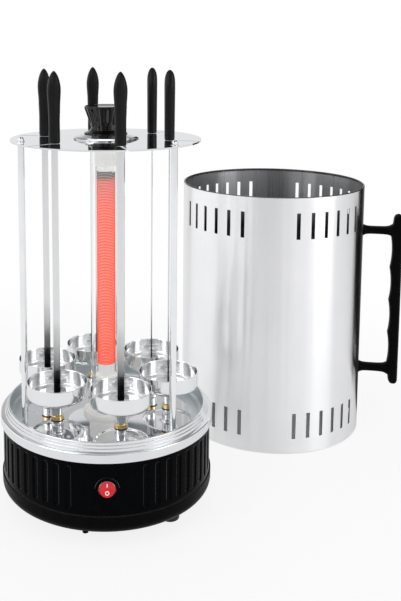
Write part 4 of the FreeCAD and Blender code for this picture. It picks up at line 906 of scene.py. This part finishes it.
def make_cover_handle():
    """The upright grip with four finger hollows, on two arms that widen into it and into their feet."""
    low, high, near, far, half_depth, end_radius = 51, 265, 143.5, 156.5, 8.5, 6.5
    hollows, hollows_low, hollow_length, hollow_depth, hollow_power = 4, 76, 40.75, 2.2, 0.8
    taper, taper_from, taper_run, steps, rings = 2.2, 82, 24, 120, []
    for k in range(steps + 1):
        z = low + (high - low) * k / steps
        cap = min((z - low) / end_radius, (high - z) / end_radius, 1)
        closing = math.sqrt(max(1 - (1 - cap) ** 2, 0.003))
        inner = near + taper * smooth_step((abs(z - (low + high) / 2) - taper_from) / taper_run)
        if hollows_low < z < hollows_low + hollows * hollow_length:
            wave = abs(math.sin(math.pi * (z - hollows_low) / hollow_length)) ** hollow_power
            inner += hollow_depth * wave - hollow_depth / 2
        middle, half = (inner + far) / 2, (far - inner) / 2
        rings.append([(x, y, z) for x, y in oval(middle, 0, half * closing, half_depth * closing)])
    start, length, meet, parts, limbs = 109.7, 38, 144.5, 30, [lofted(rings)]
    half_height, half_width, most_width = 4.6, 6.6, 8.3
    foot_flare, foot_run, grip_flare, grip_run = 2.4, 2.6, 3.6, 3.2
    for level in (71, 244):
        arm = []
        for k in range(parts + 1):
            x = start + length * k / parts
            flare = foot_flare * math.exp(-(x - start) / foot_run)
            flare += grip_flare * math.exp(-(meet - min(x, meet)) / grip_run)
            ring = oval(level, 0, half_height + flare, min(half_width + flare, most_width))
            arm.append([(x, y, z) for z, y in ring])
        limbs.append(lofted(arm))
    shape = moved(joined(limbs), turn=COVER_TURN)
    place = dict(body="cover", origin=COVER_PLACE, sharp=60)
    piece("handle", shape, BLACK, "black_plastic", "cover_handle", **place)


# ------------------------ switch marks


def make_marks():
    """The raised I and O on the rocker's two slopes."""
    hinge = next(joint for joint in frame["joints"] if joint["name"] == "switch_rock")
    pivot, tilt = Vector(hinge["pos_m"]) / MM, math.radians(8)
    proud, valley, rocker_radius, sunk, raised, turns = 2.6, 1.1, 7.4, -0.1, 0.18, 40
    bar_half, bar_low, bar_high, ring_middle, ring_inner, ring_outer = 0.45, 1.9, 5.3, -3.5, 1.15, 2

    def seat(along, up, out):
        """A point out from the level rocker's face, tilted with it."""
        y, z = -proud + valley * (1 - abs(up) / rocker_radius) - out, up
        y, z = y * math.cos(tilt) + z * math.sin(tilt), -y * math.sin(tilt) + z * math.cos(tilt)
        return tuple(pivot + Vector((along, y, z)))

    def outline(low, high):
        return (low, sunk), (high, sunk), (high, raised), (low, raised)

    bar = [[seat(x, up, out) for x, out in outline(-bar_half, bar_half)] for up in (bar_low, bar_high)]
    points, faces = [], []
    for i in range(turns):
        a = 2 * math.pi * i / turns
        for r, out in outline(ring_inner, ring_outer):
            points.append(seat(r * math.cos(a), ring_middle + r * math.sin(a), out))
        here, after = 4 * i, 4 * ((i + 1) % turns)
        for j in range(4):
            k = (j + 1) % 4
            faces.append((here + j, here + k, after + k, after + j))
    piece("switch_marks", joined([lofted(bar), (points, faces)]), MARK, "red_lens", body="rocker")


# ------------------------ floor, room, lamps, camera


def make_floor():
    """A pale floor with a white glow, so that it runs into the white behind.

    The glow is full for the camera and less in reflections, a little less near the grill, and none
    under the standing cover. From below the floor is clear, so that the underside shows.
    """
    half, drop, under_cover, clear = 6, -0.0003, 0.1, 0.112
    mesh = bpy.data.meshes.new("floor")
    corners = [(-half, -half, 0), (half, -half, 0), (half, half, 0), (-half, half, 0)]
    mesh.from_pydata(corners, [], [(0, 1, 2, 3)])
    floor = add_object("floor", mesh)
    floor.location.z = drop
    f = Finish("pale_floor", (0.86, 0.86, 0.865), 0, 0.6)
    rays = f.node("ShaderNodeLightPath").outputs
    seen = f.math("MAXIMUM", rays["Is Camera Ray"], rays["Is Transmission Ray"])
    seen = f.math("MAXIMUM", seen, f.math("MULTIPLY", rays["Is Glossy Ray"], 0.6))
    away = f.made("ShaderNodeVectorMath", f.coords, output="Value", operation="LENGTH")
    faded = f.ranged(away, 0.3, 0.9, 0.85, 1)
    centre = [place * MM for place in COVER_PLACE]
    from_cover = f.made("ShaderNodeVectorMath", f.coords, centre, output="Value", operation="DISTANCE")
    open_above = f.node("ShaderNodeAmbientOcclusion", samples=8)
    f.feed(open_above.inputs["Distance"], 0.25)
    uncovered = f.ranged(open_above.outputs["AO"], 0.5, 0.85)
    bare = f.math("MAXIMUM", f.ranged(from_cover, under_cover, clear), uncovered)
    share = f.math("MULTIPLY", seen, f.math("MULTIPLY", faded, bare))
    glow = f.made("ShaderNodeEmission", (1, 1, 1, 1))
    lit = f.made("ShaderNodeMixShader", share, f.shader.outputs[0], glow)
    below = f.node("ShaderNodeNewGeometry").outputs["Backfacing"]
    surface = f.made("ShaderNodeMixShader", below, lit, f.made("ShaderNodeBsdfTransparent"))
    f.feed(f.tree.nodes["Material Output"].inputs["Surface"], surface)
    mesh.materials.append(f.material)


def make_flag():
    """A dark card that fans out from the cover's right side, lying and standing, for reflections only."""
    corner, near, far, lift, top = (COVER_PLACE[0] + 98, COVER_PLACE[1] - 17), 20, 1000, 0.4, 1600
    points, faces, tones = [], [], []
    # bearing, brightness
    fan = ((58, 0), (48, 0), (42, 0), (38, 0.08), (32, 0.15), (24, 0.27), (16, 0.45))
    for k, (bearing, tone) in enumerate(fan):
        s, c = math.sin(math.radians(bearing)), math.cos(math.radians(bearing))
        for reach, z in ((near, lift), (far, lift), (far, top)):
            points.append(Vector((corner[0] + reach * s, corner[1] + reach * c, z)) * MM)
            tones += [tone, tone, tone, 1]
        if k:
            a, b = 3 * k - 3, 3 * k
            faces += [(a, a + 1, b + 1, b), (a + 1, a + 2, b + 2, b + 1)]
    mesh = bpy.data.meshes.new("flag")
    mesh.from_pydata(points, [], faces)
    mesh.color_attributes.new("tone", "FLOAT_COLOR", "POINT").data.foreach_set("color", tones)
    f = Finish("flag_card", (0, 0, 0), 0, 0.9, Emission_Strength=1, Specular_IOR_Level=0)
    f.set("Emission Color", f.node("ShaderNodeVertexColor", layer_name="tone").outputs["Color"])
    mesh.materials.append(f.material)
    flag = add_object("flag", mesh)
    flag.visible_camera = flag.visible_diffuse = flag.visible_transmission = flag.visible_shadow = False


# the brightness of the room that reflections show: by height from below (-1) to overhead (1), by
# bearing in degrees from the back (0) round by the right (90), and of a card overhead from front to back
ROOM_HEIGHTS = (
    (-1, 0.7), (-0.04, 0.9), (0.12, 0.92), (0.32, 0.8), (0.48, 0.42), (0.6, 0.4), (0.76, 0.85), (1, 0.95),
)
ROOM_BEARINGS = (
    (-180, 0.4), (-155, 0.36), (-130, 0.47), (-100, 0.88), (-85, 0.98), (-50, 1),
    (-40, 0.25), (-35, 0.25), (-30, 0.6), (15, 0.6), (30, 0.2), (45, 0), (58, 0),
    (60, 0.22), (80, 0.45), (100, 0.62), (120, 0.65), (145, 0.83), (160, 0.8), (170, 0.56),
)
OVERHEAD_CARD = ((-0.42, 1), (-0.34, 0.1), (-0.16, 0.1), (-0.1, 1), (1, 1))


def make_world():
    """White behind everything, an even light on what is matt, and a studio room for reflections.

    The room is bright, with dark stretches by bearing and height and a dark card overhead.
    """
    world = bpy.data.worlds.new("studio")
    bpy.context.scene.world = world
    world.use_nodes = True
    world.node_tree.nodes.clear()
    room = Nodes(world.node_tree)
    x, y, z = room.apart(room.node("ShaderNodeTexCoord").outputs["Generated"])

    def share(value):
        """From a range of -1 to 1 to a ramp's 0 to 1."""
        return room.math("MULTIPLY_ADD", value, 0.5, 0.5)

    heights = [((height + 1) / 2, (level, level, level * 1.01)) for height, level in ROOM_HEIGHTS]
    by_height = room.ramp(share(z), heights)
    turned = room.math("MULTIPLY_ADD", room.math("ARCTAN2", x, y), 0.5 / math.pi, 0.5)
    bearings = [((bearing + 180) / 360, level) for bearing, level in ROOM_BEARINGS]
    by_bearing = room.grey_ramp(turned, bearings)
    across = room.grey_ramp(share(y), [((place + 1) / 2, level) for place, level in OVERHEAD_CARD])
    high = room.ranged(z, 0.6, 0.72)
    overhead = room.math("SUBTRACT", 1, room.math("MULTIPLY", high, room.math("SUBTRACT", 1, across)))
    tint = room.node("ShaderNodeVectorMath", operation="SCALE")
    room.feed(tint.inputs[0], by_height)
    room.feed(tint.inputs["Scale"], room.math("MULTIPLY", by_bearing, overhead))
    studio = room.made("ShaderNodeBackground", tint.outputs[0], 1.5)
    plain = room.made("ShaderNodeBackground", (0.92, 0.93, 0.95, 1), 0.62)
    white = room.made("ShaderNodeBackground", (1, 1, 1, 1))
    rays = room.node("ShaderNodeLightPath").outputs
    lit = room.made("ShaderNodeMixShader", rays["Is Glossy Ray"], plain, studio)
    seen = room.math("MAXIMUM", rays["Is Camera Ray"], rays["Is Transmission Ray"])
    surface = room.made("ShaderNodeMixShader", seen, lit, white)
    room.feed(room.node("ShaderNodeOutputWorld").inputs["Surface"], surface)


def make_lamp(name, spot, target, size, watts):
    """An area lamp, with its place, its aim and its size in metres."""
    light = bpy.data.lights.new(name, "AREA")
    light.shape, light.size, light.size_y, light.energy = "RECTANGLE", *size, watts
    lamp = add_object(name, light)
    lamp.location = spot
    lamp.rotation_euler = (Vector(target) - Vector(spot)).to_track_quat("-Z", "Y").to_euler()


# the photograph's size, the pixel that the camera looks straight at, and the focal length, in pixels
PHOTO_WIDTH, PHOTO_HEIGHT = 401, 601
CENTRE_ACROSS, CENTRE_DOWN = 130, 150
FOCAL_PIXELS = 864.3


def make_camera():
    """The camera in front of the grill, in metres, turned down and a little to the right in radians."""
    place, down, right = (-0.0007, -0.865, 0.4756), 0.129, 0.029
    data = bpy.data.cameras.new("camera")
    camera = add_object("camera", data)
    camera.location = place
    camera.rotation_euler = (math.pi / 2 - down, 0, -right)
    data.sensor_width = 36
    data.lens = FOCAL_PIXELS / PHOTO_HEIGHT * data.sensor_width
    data.shift_x = (PHOTO_WIDTH / 2 - CENTRE_ACROSS) / PHOTO_HEIGHT
    data.shift_y = -(PHOTO_HEIGHT / 2 - CENTRE_DOWN) / PHOTO_HEIGHT
    data.clip_start, data.clip_end = 0.05, 50
    bpy.context.scene.camera = camera


make_housing()
make_base_trim()
make_plate()
make_spindle_trim()
for number, (angle, turn) in enumerate(zip(STATIONS, BLADE_TURNS), start=1):
    make_cup(number, about(STATION_CIRCLE, angle))
    make_skewer(number, about(STATION_CIRCLE, angle), turn)
make_rods()
make_knob()
make_heater()
make_cover()
make_cover_handle()
make_marks()

# left out of reflections, so that the cover's wall mirrors neither the base nor the heater
UNMIRRORED_PIECES = ("coil", "core", "glass", "housing_wall", "stepped_ring")
UNMIRRORED_NODES = (
    "base_pan", "gear_deck", "motor", "motor_pinion", "sun_gear", "terminal_block", "inlet_gland",
    "switch_housing", *(f"drive_gear_{k}" for k in range(1, 7)),
)
for name in UNMIRRORED_PIECES:
    bpy.data.objects[name].visible_glossy = False
for node in UNMIRRORED_NODES:
    frame["nodes"][node].visible_glossy = False
make_floor()
make_flag()
make_world()
make_lamp("key", (-1.5, -1.1, 1.4), (0, 0, 0.25), (1.5, 1.8), 14)
make_lamp("fill", (1.6, -0.8, 1.0), (0.1, 0, 0.2), (0.9, 1.4), 7)
make_lamp("top", (0.1, 0.4, 1.7), (0.1, 0.1, 0), (1.4, 1.4), 4)
make_camera()
bpy.context.scene.view_settings.view_transform = "Standard"
